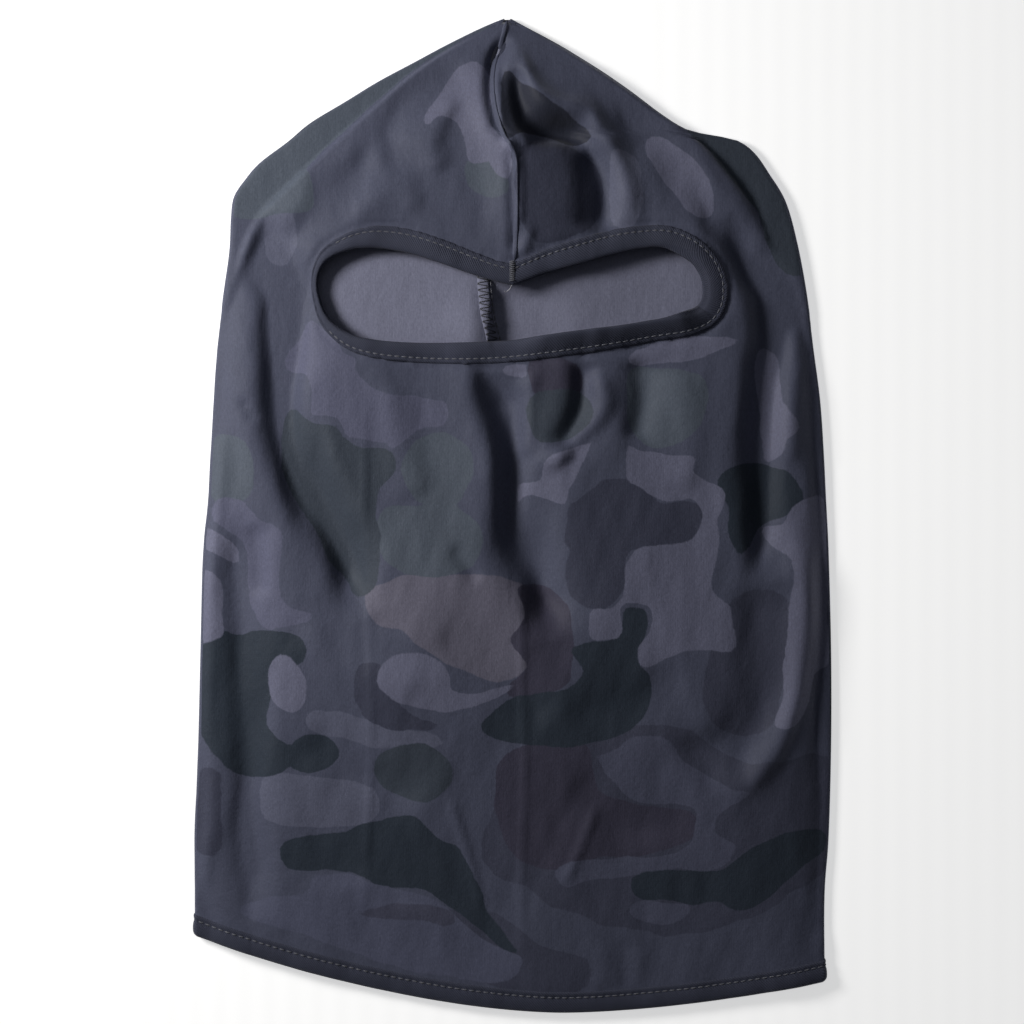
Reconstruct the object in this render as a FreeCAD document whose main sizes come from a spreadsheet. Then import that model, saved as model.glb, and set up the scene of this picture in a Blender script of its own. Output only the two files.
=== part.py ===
import FreeCAD, Part
import math
import os

# A stretch-knit balaclava lying flat: one cut piece of cloth sewn to itself up the brow, over the crown
# and down the centre back, with a folded tape round the eye opening and another round the neck.
# Frame: +X to the wearer's left as it lies face up, +Y towards the crown, +Z up off the table.
# The origin is on the table, under the middle of the whole piece.

os.makedirs("parts", exist_ok=True)
doc = FreeCAD.newDocument("Balaclava")
V = FreeCAD.Vector

# ---------------------------------------------------------------- driving sizes, in millimetres

DRIVING_SIZES = [
    ("hood_length", 400, "crown tip to the lowest point of the neck tape"),
    ("half_width", 128, "half of the hood's width, without the tape"),
    ("lie_height", 14, "height of the front layer's upper face over the table"),
    ("cloth", 0.6, "thickness of the knit"),
    ("tape_thickness", 0.5, "thickness of one layer of the folded tape"),
    ("tape_width", 8.5, "width of the folded tape, from its fold to its sewn edge"),
    ("hem_deepest_x", 20, "where the neck edge hangs lowest"),
    ("hem_left_rise", 31, "how much higher the neck edge is at the left side"),
    ("hem_right_rise", 13, "how much higher the neck edge is at the right side"),
    ("eye_width", 157, "eye opening, side to side, inside the tape"),
    ("eye_height", 39.6, "eye opening, lowest to highest point, inside the tape"),
    ("eye_bottom", 68, "height of the eye opening's lower edge over the origin"),
    ("seam_front_x", 0.5, "seam line on the front layer"),
    ("seam_back_x", -13.5, "seam line on the back layer"),
    ("allowance_width", 5, "overlocked seam allowance"),
    ("allowance_thickness", 1.2, "two layers of cloth, pressed together"),
    ("allowance_gap", 0.4, "room for the lower looper under the allowance"),
    ("thread_width", 0.5, "width of a thread as it lies on the cloth"),
    ("thread_height", 0.3, "height of a thread as it lies on the cloth"),
    ("stitch_pitch", 2.9, "from one stitch of a tape's row to the next"),
    ("stitch_length", 2.2, "length of one stitch that shows"),
    ("stitch_inset", 2.5, "row of stitches to the tape's sewn edge"),
    ("overlock_pitch", 2.6, "from one loop of the overlock to the next"),
    ("bartack_length", 7, "bar tack that closes the tape's ends at the brow"),
    ("bartack_width", 2, "width of the bar tack"),
    ("tail_length", 6, "loose end of thread under the bar tack"),
    ("seam_over_brow", 1.0, "front seam allowance's end to the eye tape's edge"),
    ("piece_clearance", 0.4, "free space between a piece and the next one in a row"),
]

sizes = doc.addObject("Spreadsheet::Sheet", "Sizes")
for row, (alias, value, note) in enumerate(DRIVING_SIZES, start=1):
    sizes.set(f"A{row}", note)
    sizes.set(f"B{row}", str(value))
    sizes.setAlias(f"B{row}", alias)
doc.recompute()


def size(alias):
    return float(getattr(sizes, alias))


# ---------------------------------------------------------------- the hood's shape, lying flat

# Points of the outline as shares: across the half width, and up the half length from the middle.
LEFT_SIDE = [(-1.000, -0.87), (-0.998, -0.57), (-0.976, -0.27), (-0.956, 0.03), (-0.931, 0.33), (-0.881, 0.61)]
CROWN_TIP = (-0.014, 1.00)
LEFT_CROWN = [(-0.780, 0.705), (-0.649, 0.785), (-0.418, 0.870), (-0.200, 0.950)]
RIGHT_CROWN = [(0.160, 0.945), (0.337, 0.870), (0.505, 0.790), (0.711, 0.745), (0.821, 0.670), (0.900, 0.510)]
RIGHT_SIDE = [(0.945, 0.33), (0.980, 0.03), (1.004, -0.27), (0.993, -0.57), (0.975, -0.87)]

# Share of the half length and share of the lying height along the top, from which the crown slopes down.
CROWN_SLOPE = [(0.70, 1.00), (1.00, 0.50)]

# The back layer rises over this stretch, to lie on its tape at the neck.
JOGGLE = [(-0.740, 1.0), (-0.715, 0.0)]


def half_length():
    return size("hood_length") / 2


def hem_raise():
    return size("tape_thickness") + size("thread_height")


def ramp(y, stretch, low, high):
    """A height that goes straight from low to high over a stretch of the half length."""
    start, end = (share[0] * half_length() for share in stretch)
    part = min(1.0, max(0.0, (y - start) / (end - start)))
    return low + part * (high - low)


def top_z(y):
    tip_share = CROWN_SLOPE[1][1]
    return size("lie_height") * ramp(y, CROWN_SLOPE, 1.0, tip_share)


def bottom_z(y):
    return hem_raise() * ramp(y, JOGGLE, 1.0, 0.0)


def hem_y(x):
    """Height of the cloth's neck edge: lowest at hem_deepest_x, rising to both sides."""
    deepest = size("hem_deepest_x")
    rise = size("hem_left_rise") if x < deepest else size("hem_right_rise")
    reach = size("half_width") + (deepest if x < deepest else -deepest)
    curl = 1.7
    return size("tape_thickness") - half_length() + rise * (abs(x - deepest) / reach) ** curl


def smooth_curve(points):
    if len(points) == 2:
        return Part.LineSegment(points[0], points[1])
    curve = Part.BSplineCurve()
    curve.interpolate(points)
    return curve


def left_normal(curve, parameter):
    direction = curve.tangent(parameter)[0]
    return V(-direction.y, direction.x, 0)


def moved_outline(chains, outset):
    """A closed outline, run clockwise, moved outwards. Each chain of points is one smooth curve, and
    the corners between two chains stay sharp."""
    curves = [smooth_curve(chain) for chain in chains]
    if outset == 0:
        return curves
    samples_each = 24
    ends = []
    for before, after in zip(curves[-1:] + curves[:-1], curves):
        first = left_normal(before, before.LastParameter)
        second = left_normal(after, after.FirstParameter)
        miter = (first + second) * (outset / (1 + first.dot(second)))
        ends.append(after.value(after.FirstParameter) + miter)
    moved = []
    for curve, start, end in zip(curves, ends, ends[1:] + ends[:1]):
        points = [start]
        if isinstance(curve, Part.BSplineCurve):
            span = curve.LastParameter - curve.FirstParameter
            for index in range(1, samples_each):
                parameter = curve.FirstParameter + span * index / samples_each
                points.append(curve.value(parameter) + left_normal(curve, parameter) * outset)
        moved.append(smooth_curve(points + [end]))
    return moved


def hood_outline(outset):
    """The hood in plan, moved outwards by outset. It runs on past the neck, to be cut there."""
    past_neck = -1.1 * half_length()

    def place(shares):
        return [V(across * size("half_width"), up * half_length(), 0) for across, up in shares]

    left = place(LEFT_SIDE)
    left_crown = place([LEFT_SIDE[-1]] + LEFT_CROWN + [CROWN_TIP])
    right = place([CROWN_TIP] + RIGHT_CROWN + RIGHT_SIDE)
    left_foot = V(left[0].x, past_neck, 0)
    right_foot = V(right[-1].x, past_neck, 0)
    chains = [[left_foot, left[0]], left, left_crown, right, [right[-1], right_foot], [right_foot, left_foot]]
    return moved_outline(chains, outset)


def origin_plane(body, role):
    return next(item for item in body.Origin.OriginFeatures if item.Role == role)


def new_body(label):
    body = doc.addObject("PartDesign::Body", label)
    body.Label = label
    return body


def plane_sketch(body, name, role, offset_expression, outline):
    """A sketch of an outline on one of the body's origin planes, moved along its normal."""
    sketch = body.newObject("Sketcher::SketchObject", name)
    sketch.AttachmentSupport = [(origin_plane(body, role), "")]
    sketch.MapMode = "FlatFace"
    sketch.setExpression("AttachmentOffset.Base.z", offset_expression)
    for curve in outline:
        sketch.addGeometry(curve, False)
    return sketch


def pad(body, name, role, outline, offset_expression, length_expression):
    before = body.Shape.Volume if body.Tip else 0.0
    sketch = plane_sketch(body, name + "_outline", role, offset_expression, outline)
    feature = body.newObject("PartDesign::Pad", name)
    feature.Profile = sketch
    feature.setExpression("Length", length_expression)
    doc.recompute()
    if body.Shape.Volume <= before:
        raise RuntimeError(f"{name} adds nothing")


def pocket(body, name, role, outline, offset_expression, length_expression):
    """Cuts against the sketch plane's normal, from the offset down by the length."""
    before = body.Shape.Volume
    sketch = plane_sketch(body, name + "_outline", role, offset_expression, outline)
    feature = body.newObject("PartDesign::Pocket", name)
    feature.Profile = sketch
    feature.setExpression("Length", length_expression)
    doc.recompute()
    if body.Shape.Volume >= before:
        raise RuntimeError(f"{name} removes nothing")


def polygon(points):
    return [Part.LineSegment(start, end) for start, end in zip(points, points[1:] + points[:1])]


def pouch(label, outset_expression, outset, neck_only=False):
    """A solid of the hood's outer form, moved outwards by outset on every side, whole or near the neck."""
    body = new_body(label)
    across = "<<Sizes>>.half_width * 4"
    right_of_all = "<<Sizes>>.half_width * 2"
    pad(
        body,
        label + "_plan",
        "XY_Plane",
        hood_outline(outset),
        f"-({outset_expression})",
        f"<<Sizes>>.lie_height + 2 * ({outset_expression})",
    )
    far = 1.3 * half_length()
    below = -size("lie_height")
    above = 2 * size("lie_height")
    joggle_low, joggle_high = (share * half_length() for share, _ in JOGGLE)
    foot = [
        V(-far, below, 0),
        V(joggle_high, below, 0),
        V(joggle_high, -outset, 0),
        V(joggle_low, hem_raise() - outset, 0),
        V(-far, hem_raise() - outset, 0),
    ]
    pocket(body, label + "_joggle", "YZ_Plane", polygon(foot), right_of_all, across)
    slope_low, slope_high = (share * half_length() for share, _ in CROWN_SLOPE)
    roof = [
        V(slope_low, top_z(slope_low) + outset, 0),
        V(slope_high, top_z(slope_high) + outset, 0),
        V(far, top_z(far) + outset, 0),
        V(far, above, 0),
        V(slope_low, above, 0),
    ]
    if neck_only:
        roof = [V(joggle_high, below, 0), V(far, below, 0), V(far, above, 0), V(joggle_high, above, 0)]
    pocket(body, label + "_roof", "YZ_Plane", polygon(roof), right_of_all, across)
    return body


# ---------------------------------------------------------------- neck edge and eye opening, in plan


def neck_region(offset, far_y):
    """Closed outline between a straight line at far_y and the neck edge, moved up by offset."""
    reach = size("half_width") + 4 * size("tape_width")
    count = 14
    xs = [-reach + 2 * reach * index / count for index in range(count + 1)]
    points = [V(x, hem_y(x) + offset, 0) for x in xs]
    first = V(-reach, far_y, 0)
    last = V(reach, far_y, 0)
    return [smooth_curve(points)] + polygon([points[-1], last, first, points[0]])[:3]


def trim_neck(body, name, offset, far_y):
    above_all = "<<Sizes>>.lie_height * 2"
    pocket(body, name, "XY_Plane", neck_region(offset, far_y), above_all, above_all + " * 2")


# Points of the eye opening's free edge as shares: across the half width, and from the lowest to the
# highest point. The two upper curves meet in a point at the brow.
BROW_POINT = (0.005, 0.616)
EYE_RIGHT = [(0.300, 0.800), (0.600, 0.968), (0.760, 1.000), (0.930, 0.880)]
EYE_RIGHT_END = [(1.000, 0.580), (0.920, 0.300), (0.530, 0.175), (0.020, 0.030)]
EYE_LEFT = [(-0.500, 0.000), (-0.800, 0.040), (-0.960, 0.280), (-1.000, 0.600)]
EYE_LEFT_END = [(-0.940, 0.860), (-0.760, 0.992), (-0.500, 0.920), (-0.250, 0.740)]


def eye_point(shares):
    across, up = shares
    x = across * size("eye_width") / 2
    y = size("eye_bottom") + up * size("eye_height")
    return V(x, y, 0)


def eye_outline(outset):
    """The eye opening's free edge, moved into the cloth by outset."""
    shares = [BROW_POINT] + EYE_RIGHT + EYE_RIGHT_END + EYE_LEFT + EYE_LEFT_END + [BROW_POINT]
    return moved_outline([[eye_point(pair) for pair in shares]], outset)


# ---------------------------------------------------------------- hood: the one piece of cloth

cloth = size("cloth")
tape = size("tape_thickness")
off_the_hood = -0.6 * size("hood_length")

hood_outside = pouch("hood_outside", "0", 0.0)
trim_neck(hood_outside, "neck_edge", 0.0, off_the_hood)
hood_inside = pouch("hood_inside", "-<<Sizes>>.cloth", -cloth)

hood_walls = doc.addObject("Part::Cut", "hood_walls")
hood_walls.Base = hood_outside
hood_walls.Tool = hood_inside

eye_plug = new_body("eye_plug")
pad(
    eye_plug,
    "eye_hole",
    "XY_Plane",
    eye_outline(tape),
    "<<Sizes>>.lie_height / 2",
    "<<Sizes>>.lie_height",
)
hood_open = doc.addObject("Part::Cut", "hood_open")
hood_open.Base = hood_walls
hood_open.Tool = eye_plug


# The seam allowance is the cloth's own edge, overlocked and pressed to one side. It stands on a narrow
# stem at the seam line and lies along the inside of the back layer and of the front layer.
STEM_WIDTH = 1.0
SEAM_TOP = 0.90 * half_length()


def seam_stations(low_y):
    """The places along Y at which a seam starts, changes slope and ends."""
    bends = [share * half_length() for share, _ in JOGGLE + CROWN_SLOPE]
    return [low_y] + [y for y in bends if low_y < y < SEAM_TOP] + [SEAM_TOP]


def back_inside(y):
    return bottom_z(y) + cloth


def front_inside(y):
    return top_z(y) - cloth


def strip(low_y, height_at, near, far):
    """Outline, in Y and Z, of a strip that follows height_at between two distances from it."""
    ys = seam_stations(low_y)
    there = [V(y, height_at(y) + near, 0) for y in ys]
    back = [V(y, height_at(y) + far, 0) for y in reversed(ys)]
    return polygon(there + back)


gap = size("allowance_gap")
thick = size("allowance_thickness")
back_seam_low = hem_y(size("seam_back_x")) + size("tape_width") + size("piece_clearance")
front_seam_low = eye_point(BROW_POINT).y + size("tape_width") + size("seam_over_brow")
SEAMS = [
    ("back", back_seam_low, back_inside, 1),
    ("front", front_seam_low, front_inside, -1),
]
allowances = []
for side, low_y, inside, inward in SEAMS:
    allowance = new_body(f"{side}_allowance")
    seam_x = f"<<Sizes>>.seam_{side}_x"
    stem = strip(low_y, inside, -inward * cloth / 2, inward * (gap + thick / 2))
    pad(allowance, f"{side}_stem", "YZ_Plane", stem, seam_x, f"{STEM_WIDTH}")
    flap = strip(low_y, inside, inward * gap, inward * (gap + thick))
    pad(allowance, f"{side}_flap", "YZ_Plane", flap, seam_x, "<<Sizes>>.allowance_width")
    allowances.append(allowance)

hood = doc.addObject("Part::MultiFuse", "hood_shell")
hood.Shapes = [hood_open] + allowances
doc.recompute()


# ---------------------------------------------------------------- tapes, folded over the cloth's edges

# The neck tape is a band that is one tape thickness bigger than the cloth inside and out, cut to the
# tape's width and hollowed by the cloth it is folded over.
band_outside = pouch("band_outside", "<<Sizes>>.tape_thickness", tape, neck_only=True)
trim_neck(band_outside, "tape_fold", -tape, off_the_hood)
trim_neck(band_outside, "tape_sewn_edge", size("tape_width"), 0.0)
within_tape = "-<<Sizes>>.cloth - <<Sizes>>.tape_thickness"
band_inside = pouch("band_inside", within_tape, -cloth - tape, neck_only=True)

hem_band = doc.addObject("Part::Cut", "hem_band")
hem_band.Base = band_outside
hem_band.Tool = band_inside
hem_binding = doc.addObject("Part::Cut", "hem_binding")
hem_binding.Base = hem_band
hem_binding.Tool = hood

eye_band = new_body("eye_band")
pad(
    eye_band,
    "eye_band_ring",
    "XY_Plane",
    eye_outline(size("tape_width")) + eye_outline(0.0),
    "<<Sizes>>.lie_height - <<Sizes>>.cloth - <<Sizes>>.tape_thickness",
    "<<Sizes>>.cloth + 2 * <<Sizes>>.tape_thickness",
)
eye_binding = doc.addObject("Part::Cut", "eye_binding")
eye_binding.Base = eye_band
eye_binding.Tool = hood
doc.recompute()


# ---------------------------------------------------------------- threads

UP = V(0, 0, 1)
DOWN = V(0, 0, -1)

def thread_bar(start, end, normal):
    """One visible run of thread, lying on a surface whose outward normal is given."""
    along = end - start
    side = normal.cross(along)
    turn = FreeCAD.Rotation(along, side, normal, "XZY")
    width = size("thread_width")
    bar = Part.makeBox(along.Length, width, size("thread_height"), V(0, -width / 2, 0))
    bar.Placement = FreeCAD.Placement(start, turn)
    return bar


def thread_group(label, bars):
    feature = doc.addObject("Part::Feature", label)
    feature.Label = label
    feature.Shape = Part.makeCompound(bars)
    feature.Placement = FreeCAD.Placement()
    return feature


class Route:
    """A line on a surface: points with their outward normals, measured along its length."""

    def __init__(self, points, normals, closed):
        self.points = list(points) + list(points[:1] if closed else [])
        self.normals = list(normals) + list(normals[:1] if closed else [])
        self.marks = [0.0]
        for start, end in zip(self.points, self.points[1:]):
            self.marks.append(self.marks[-1] + (end - start).Length)
        self.length = self.marks[-1]

    def at(self, distance):
        distance = min(max(distance, 0.0), self.length)
        for index in range(len(self.marks) - 1):
            if distance <= self.marks[index + 1]:
                break
        span = self.marks[index + 1] - self.marks[index]
        part = (distance - self.marks[index]) / span
        point = self.points[index] + (self.points[index + 1] - self.points[index]) * part
        normal = self.normals[index] + (self.normals[index + 1] - self.normals[index]) * part
        return point, normal.normalize()


def running_stitches(route, pitch, length, keep=lambda point: True):
    """Evenly spaced straight stitches along a route."""
    count = max(1, round(route.length / pitch))
    step = route.length / count
    bars = []
    for index in range(count):
        middle, normal = route.at((index + 0.5) * step)
        if not keep(middle):
            continue
        start, _ = route.at((index + 0.5) * step - length / 2)
        end, _ = route.at((index + 0.5) * step + length / 2)
        bars.append(thread_bar(start, end, normal))
    return bars


def neck_routes(from_cloth, offset, inward):
    """The four sides of the neck at a distance from the cloth's outer face: front layer, back layer and
    the two side folds. They run offset above the cloth's neck edge and stop short of the corners."""
    low_z = hem_raise() - from_cloth
    high_z = size("lie_height") + from_cloth
    left_x = LEFT_SIDE[0][0] * size("half_width") - from_cloth
    right_x = RIGHT_SIDE[-1][0] * size("half_width") + from_cloth
    margin = size("stitch_inset") * (1 if inward else 0.5)
    sense = -1 if inward else 1
    steps = 60

    def side(start_x, start_z, end_x, end_z, outward):
        points = []
        for index in range(steps + 1):
            x = start_x + (end_x - start_x) * index / steps
            z = start_z + (end_z - start_z) * index / steps
            points.append(V(x, hem_y(x) + offset, z))
        return Route(points, [outward * sense] * len(points), False)

    return [
        side(left_x + margin, high_z, right_x - margin, high_z, UP),
        side(left_x + margin, low_z, right_x - margin, low_z, DOWN),
        side(left_x, low_z + margin, left_x, high_z - margin, V(-1, 0, 0)),
        side(right_x, low_z + margin, right_x, high_z - margin, V(1, 0, 0)),
    ]


def eye_route(offset, z, normal):
    outline = Part.Wire([curve.toShape() for curve in eye_outline(offset)])
    fine = 400
    points = [V(point.x, point.y, z) for point in outline.discretize(Number=fine)]
    return Route(points[:-1], [normal] * (fine - 1), True)


pitch = size("stitch_pitch")
stitch = size("stitch_length")
row_offset = size("tape_width") - size("stitch_inset")


def neck_stitches(from_cloth, inward):
    bars = []
    for route in neck_routes(from_cloth, row_offset, inward):
        bars += running_stitches(route, pitch, stitch)
    return bars


thread_group("hem_needle_thread", neck_stitches(tape, False))
thread_group("hem_looper_thread", neck_stitches(-cloth - tape, True))

bartack_x = eye_point(BROW_POINT).x
bartack_clear = size("bartack_width") / 2 + stitch / 2 + size("piece_clearance")


def beside_bartack(point):
    over_eye = point.y > size("eye_bottom") + size("eye_height") / 2
    return not (over_eye and abs(point.x - bartack_x) < bartack_clear)


tape_top = size("lie_height") + tape
tape_underside = size("lie_height") - cloth - tape
eye_outside = eye_route(row_offset, tape_top, UP)
eye_inside = eye_route(row_offset, tape_underside, DOWN)
thread_group("eye_needle_thread", running_stitches(eye_outside, pitch, stitch, beside_bartack))
thread_group("eye_looper_thread", running_stitches(eye_inside, pitch, stitch, beside_bartack))


# The overlock is sewn with three threads: the needle's row beside the seam line, the upper looper's
# zigzag over the allowance, and the lower looper's zigzag under it.
def seam_route(x, low_y, height_at, from_inside, inward):
    ys = seam_stations(low_y)
    points = [V(x, y, height_at(y) + inward * from_inside) for y in ys]
    return Route(points, [V(0, 0, inward)] * len(ys), False)


# Each end of a zigzag leg dips under the cloth for this share of its length.
BARE_SHARE = 0.12


def zigzag(near_route, far_route, facing):
    """Legs of thread that cross from one route to the other and back."""
    count = round(near_route.length / size("overlock_pitch"))
    step = near_route.length / count
    bars = []
    for index in range(count):
        corner, _ = near_route.at(index * step)
        tip, _ = far_route.at((index + 0.5) * step)
        following, _ = near_route.at((index + 1) * step)
        for start, end in ((corner, tip), (tip, following)):
            leg = end - start
            first = start + leg * BARE_SHARE
            last = end - leg * BARE_SHARE
            bars.append(thread_bar(first, last, facing))
    return bars


needle_bars = []
upper_bars = []
lower_bars = []
EDGE_MARGIN = 0.1
edge_clear = size("thread_width") / 2 + EDGE_MARGIN
for side, low_y, inside, inward in SEAMS:
    stem_x = size(f"seam_{side}_x")
    needle_x = stem_x + STEM_WIDTH / 2
    near_x = stem_x + STEM_WIDTH + edge_clear
    far_x = stem_x + size("allowance_width") - edge_clear
    outer_face = gap + thick
    facing = V(0, 0, inward)
    needle_route = seam_route(needle_x, low_y, inside, outer_face, inward)
    needle_bars += running_stitches(needle_route, pitch, stitch)
    upper_near = seam_route(near_x, low_y, inside, outer_face, inward)
    upper_far = seam_route(far_x, low_y, inside, outer_face, inward)
    upper_bars += zigzag(upper_near, upper_far, facing)
    lower_near = seam_route(near_x, low_y, inside, gap, inward)
    lower_far = seam_route(far_x, low_y, inside, gap, inward)
    lower_bars += zigzag(lower_near, lower_far, facing * -1)
thread_group("seam_needle_thread", needle_bars)
thread_group("seam_upper_looper_thread", upper_bars)
thread_group("seam_lower_looper_thread", lower_bars)

# The bar tack is a block of short stitches side by side, across the two ends of the eye tape.
bartack_low = eye_point(BROW_POINT).y + size("tape_thickness") + size("piece_clearance")
bartack_step = size("thread_width") * 1.3
bartack_count = int(size("bartack_length") / bartack_step)
bartack_bars = []
for index in range(bartack_count):
    y = bartack_low + (index + 0.5) * bartack_step
    half = size("bartack_width") / 2
    start = V(bartack_x - half, y, tape_top)
    bartack_bars.append(thread_bar(start, V(bartack_x + half, y, tape_top), UP))
thread_group("brow_bartack", bartack_bars)

# The loose end of thread leaves the bar tack, turns over the tape's fold and hangs into the opening.
tail_radius = size("thread_height") / 2
tail_z = tape_top + tail_radius + 0.05
bend_radius = 1.0
tail_start = V(bartack_x, bartack_low - size("piece_clearance") / 2, tail_z)
tail_corner = tail_start + V(-0.4, -2.2, 0)
tail_slope = V(-0.35, -0.75, -0.9).normalize()
tail_flat = (tail_corner - tail_start).normalize()
tail_end = tail_corner + tail_slope * (size("tail_length") - (tail_corner - tail_start).Length)
turn_half = tail_flat.getAngle(tail_slope) / 2
setback = bend_radius * math.tan(turn_half)
bend_start = tail_corner - tail_flat * setback
bend_end = tail_corner + tail_slope * setback
to_middle = (tail_slope - tail_flat).normalize()
bend_middle = tail_corner + to_middle * (bend_radius / math.cos(turn_half) - bend_radius)
tail_path = Part.Wire(
    [
        Part.LineSegment(tail_start, bend_start).toShape(),
        Part.Arc(bend_start, bend_middle, bend_end).toShape(),
        Part.LineSegment(bend_end, tail_end).toShape(),
    ]
)
tail_section = Part.Wire([Part.Circle(tail_start, tail_flat, tail_radius).toShape()])
tail = doc.addObject("Part::Feature", "brow_thread_tail")
tail.Label = "brow_thread_tail"
tail.Shape = tail_path.makePipeShell([tail_section], True, False)
tail.Placement = FreeCAD.Placement()

doc.recompute()

# ---------------------------------------------------------------- check and write

NODES = [
    "hood_shell",
    "eye_binding",
    "hem_binding",
    "eye_needle_thread",
    "eye_looper_thread",
    "hem_needle_thread",
    "hem_looper_thread",
    "seam_needle_thread",
    "seam_upper_looper_thread",
    "seam_lower_looper_thread",
    "brow_bartack",
    "brow_thread_tail",
]

for item in doc.Objects:
    if {"Invalid", "Error"} & set(item.State):
        raise RuntimeError(f"{item.Label} failed: {item.State}")

for node in NODES:
    shape = doc.getObjectsByLabel(node)[0].Shape
    if shape.isNull() or not shape.isValid() or not shape.Solids:
        raise RuntimeError(f"{node} has no valid solid")
    shape.exportStep(f"parts/{node}.step")
    box = shape.BoundBox
    print(
        f"{node}: {len(shape.Solids)} solids, {shape.Volume:.1f} mm3,"
        f" x {box.XMin:.2f}..{box.XMax:.2f} y {box.YMin:.2f}..{box.YMax:.2f} z {box.ZMin:.2f}..{box.ZMax:.2f}"
    )
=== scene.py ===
"""A thin stretch-knit balaclava with a camouflage print, lying flat, front side up."""
import math

import bpy
import numpy as np
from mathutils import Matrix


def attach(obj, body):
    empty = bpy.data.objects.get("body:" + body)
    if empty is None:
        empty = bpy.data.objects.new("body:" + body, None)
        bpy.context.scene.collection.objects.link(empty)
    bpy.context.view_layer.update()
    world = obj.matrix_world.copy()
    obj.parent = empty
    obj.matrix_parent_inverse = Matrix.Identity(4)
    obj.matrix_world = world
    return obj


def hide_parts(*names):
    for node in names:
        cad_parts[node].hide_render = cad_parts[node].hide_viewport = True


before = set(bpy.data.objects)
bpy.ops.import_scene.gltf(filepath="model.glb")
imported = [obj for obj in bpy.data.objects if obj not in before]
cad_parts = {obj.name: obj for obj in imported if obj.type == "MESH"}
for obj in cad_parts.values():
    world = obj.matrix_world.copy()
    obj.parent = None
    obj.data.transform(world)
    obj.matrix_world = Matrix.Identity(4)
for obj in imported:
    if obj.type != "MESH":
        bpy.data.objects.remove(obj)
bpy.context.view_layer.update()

MM = 0.001

# ---------------------------------------------------------------- table, light and camera
# The hood lies on a plain white table under a window-like soft light from its upper left.
# The camera looks straight down from a metre above the cloth.
scene = bpy.context.scene
scene.view_settings.view_transform = "Standard"

VIEW_CENTRE = (-0.0002, 0.0012)
VIEW_HEIGHT = 1.008
VIEW_LENS = 87.9
SENSOR_WIDTH = 36.0

lens = bpy.data.cameras.new("overhead_camera")
lens.lens = VIEW_LENS
lens.sensor_width = SENSOR_WIDTH
overhead_camera = bpy.data.objects.new("overhead_camera", lens)
overhead_camera.location = (*VIEW_CENTRE, VIEW_HEIGHT)
scene.collection.objects.link(overhead_camera)
scene.camera = overhead_camera


def soft_light(name, place, aim, size, watts, colour):
    """A square soft light hung at a place and turned to face a point on the table."""
    lamp = bpy.data.lights.new(name, "AREA")
    lamp.size = size
    lamp.energy = watts
    lamp.color = colour
    hung = bpy.data.objects.new(name, lamp)
    hung.location = place
    x, y, z = (b - a for a, b in zip(place, aim))
    hung.rotation_euler = (math.acos(-z / math.hypot(x, y, z)), 0, math.atan2(-x, y))
    scene.collection.objects.link(hung)


WARM_DAYLIGHT = (1.0, 0.985, 0.96)
COOL_SKYLIGHT = (0.9, 0.94, 1.0)
ROOM_COLOUR = (0.92, 0.95, 1.0, 1.0)
ROOM_STRENGTH = 0.05

soft_light("window_light", (-0.54, 0.23, 0.37), (-0.04, 0.0, 0.0), 0.20, 3.9, WARM_DAYLIGHT)
soft_light("room_fill", (-0.1, 0.3, 1.1), (0.0, 0.0, 0.0), 0.9, 0.5, COOL_SKYLIGHT)

room = bpy.data.worlds.new("room")
scene.world = room
room.use_nodes = True
room_air = room.node_tree.nodes["Background"]
room_air.inputs["Color"].default_value = ROOM_COLOUR
room_air.inputs["Strength"].default_value = ROOM_STRENGTH


class Finish:
    """One node material, with a short way to add nodes and join them."""

    def __init__(self, name):
        self.material = bpy.data.materials.new(name)
        self.material.use_nodes = True
        self.tree = self.material.node_tree
        self.shader = self.tree.nodes["Principled BSDF"]

    def add(self, kind, inputs, **settings):
        made = self.tree.nodes.new("ShaderNode" + kind)
        for key, value in settings.items():
            setattr(made, key, value)
        for key, value in inputs.items():
            self.put(value, made.inputs[key])
        return made

    def put(self, value, socket):
        if isinstance(value, bpy.types.NodeSocket):
            self.tree.links.new(value, socket)
        else:
            socket.default_value = value

    def math(self, operation, a, b=0.0, clamp=False):
        return self.add("Math", {0: a, 1: b}, operation=operation, use_clamp=clamp).outputs[0]

    def mix(self, share, first, second, blend="MIX"):
        made = self.add("Mix", {0: share, 6: first, 7: second}, data_type="RGBA", blend_type=blend)
        return made.outputs[2]

    def noise(self, place, scale, detail=2.0, rough=0.5):
        inputs = {"Vector": place, "Scale": scale, "Detail": detail, "Roughness": rough}
        return self.add("TexNoise", inputs).outputs[0]

    def stretched(self, place, scale):
        return self.add("Mapping", {"Vector": place, "Scale": scale}).outputs[0]

    def bump(self, height, strength, depth, normal=None):
        inputs = {"Height": height, "Strength": strength, "Distance": depth}
        if normal is not None:
            inputs["Normal"] = normal
        return self.add("Bump", inputs).outputs[0]


TABLE_SIZE = 4.0
TABLE_WHITE = (0.93, 0.93, 0.93, 1)
TABLE_ROUGHNESS = 0.9
TABLE_GLOW = 0.58
FLUTE_SCALE, FLUTE_SHARE = 32.0, 0.04

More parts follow.
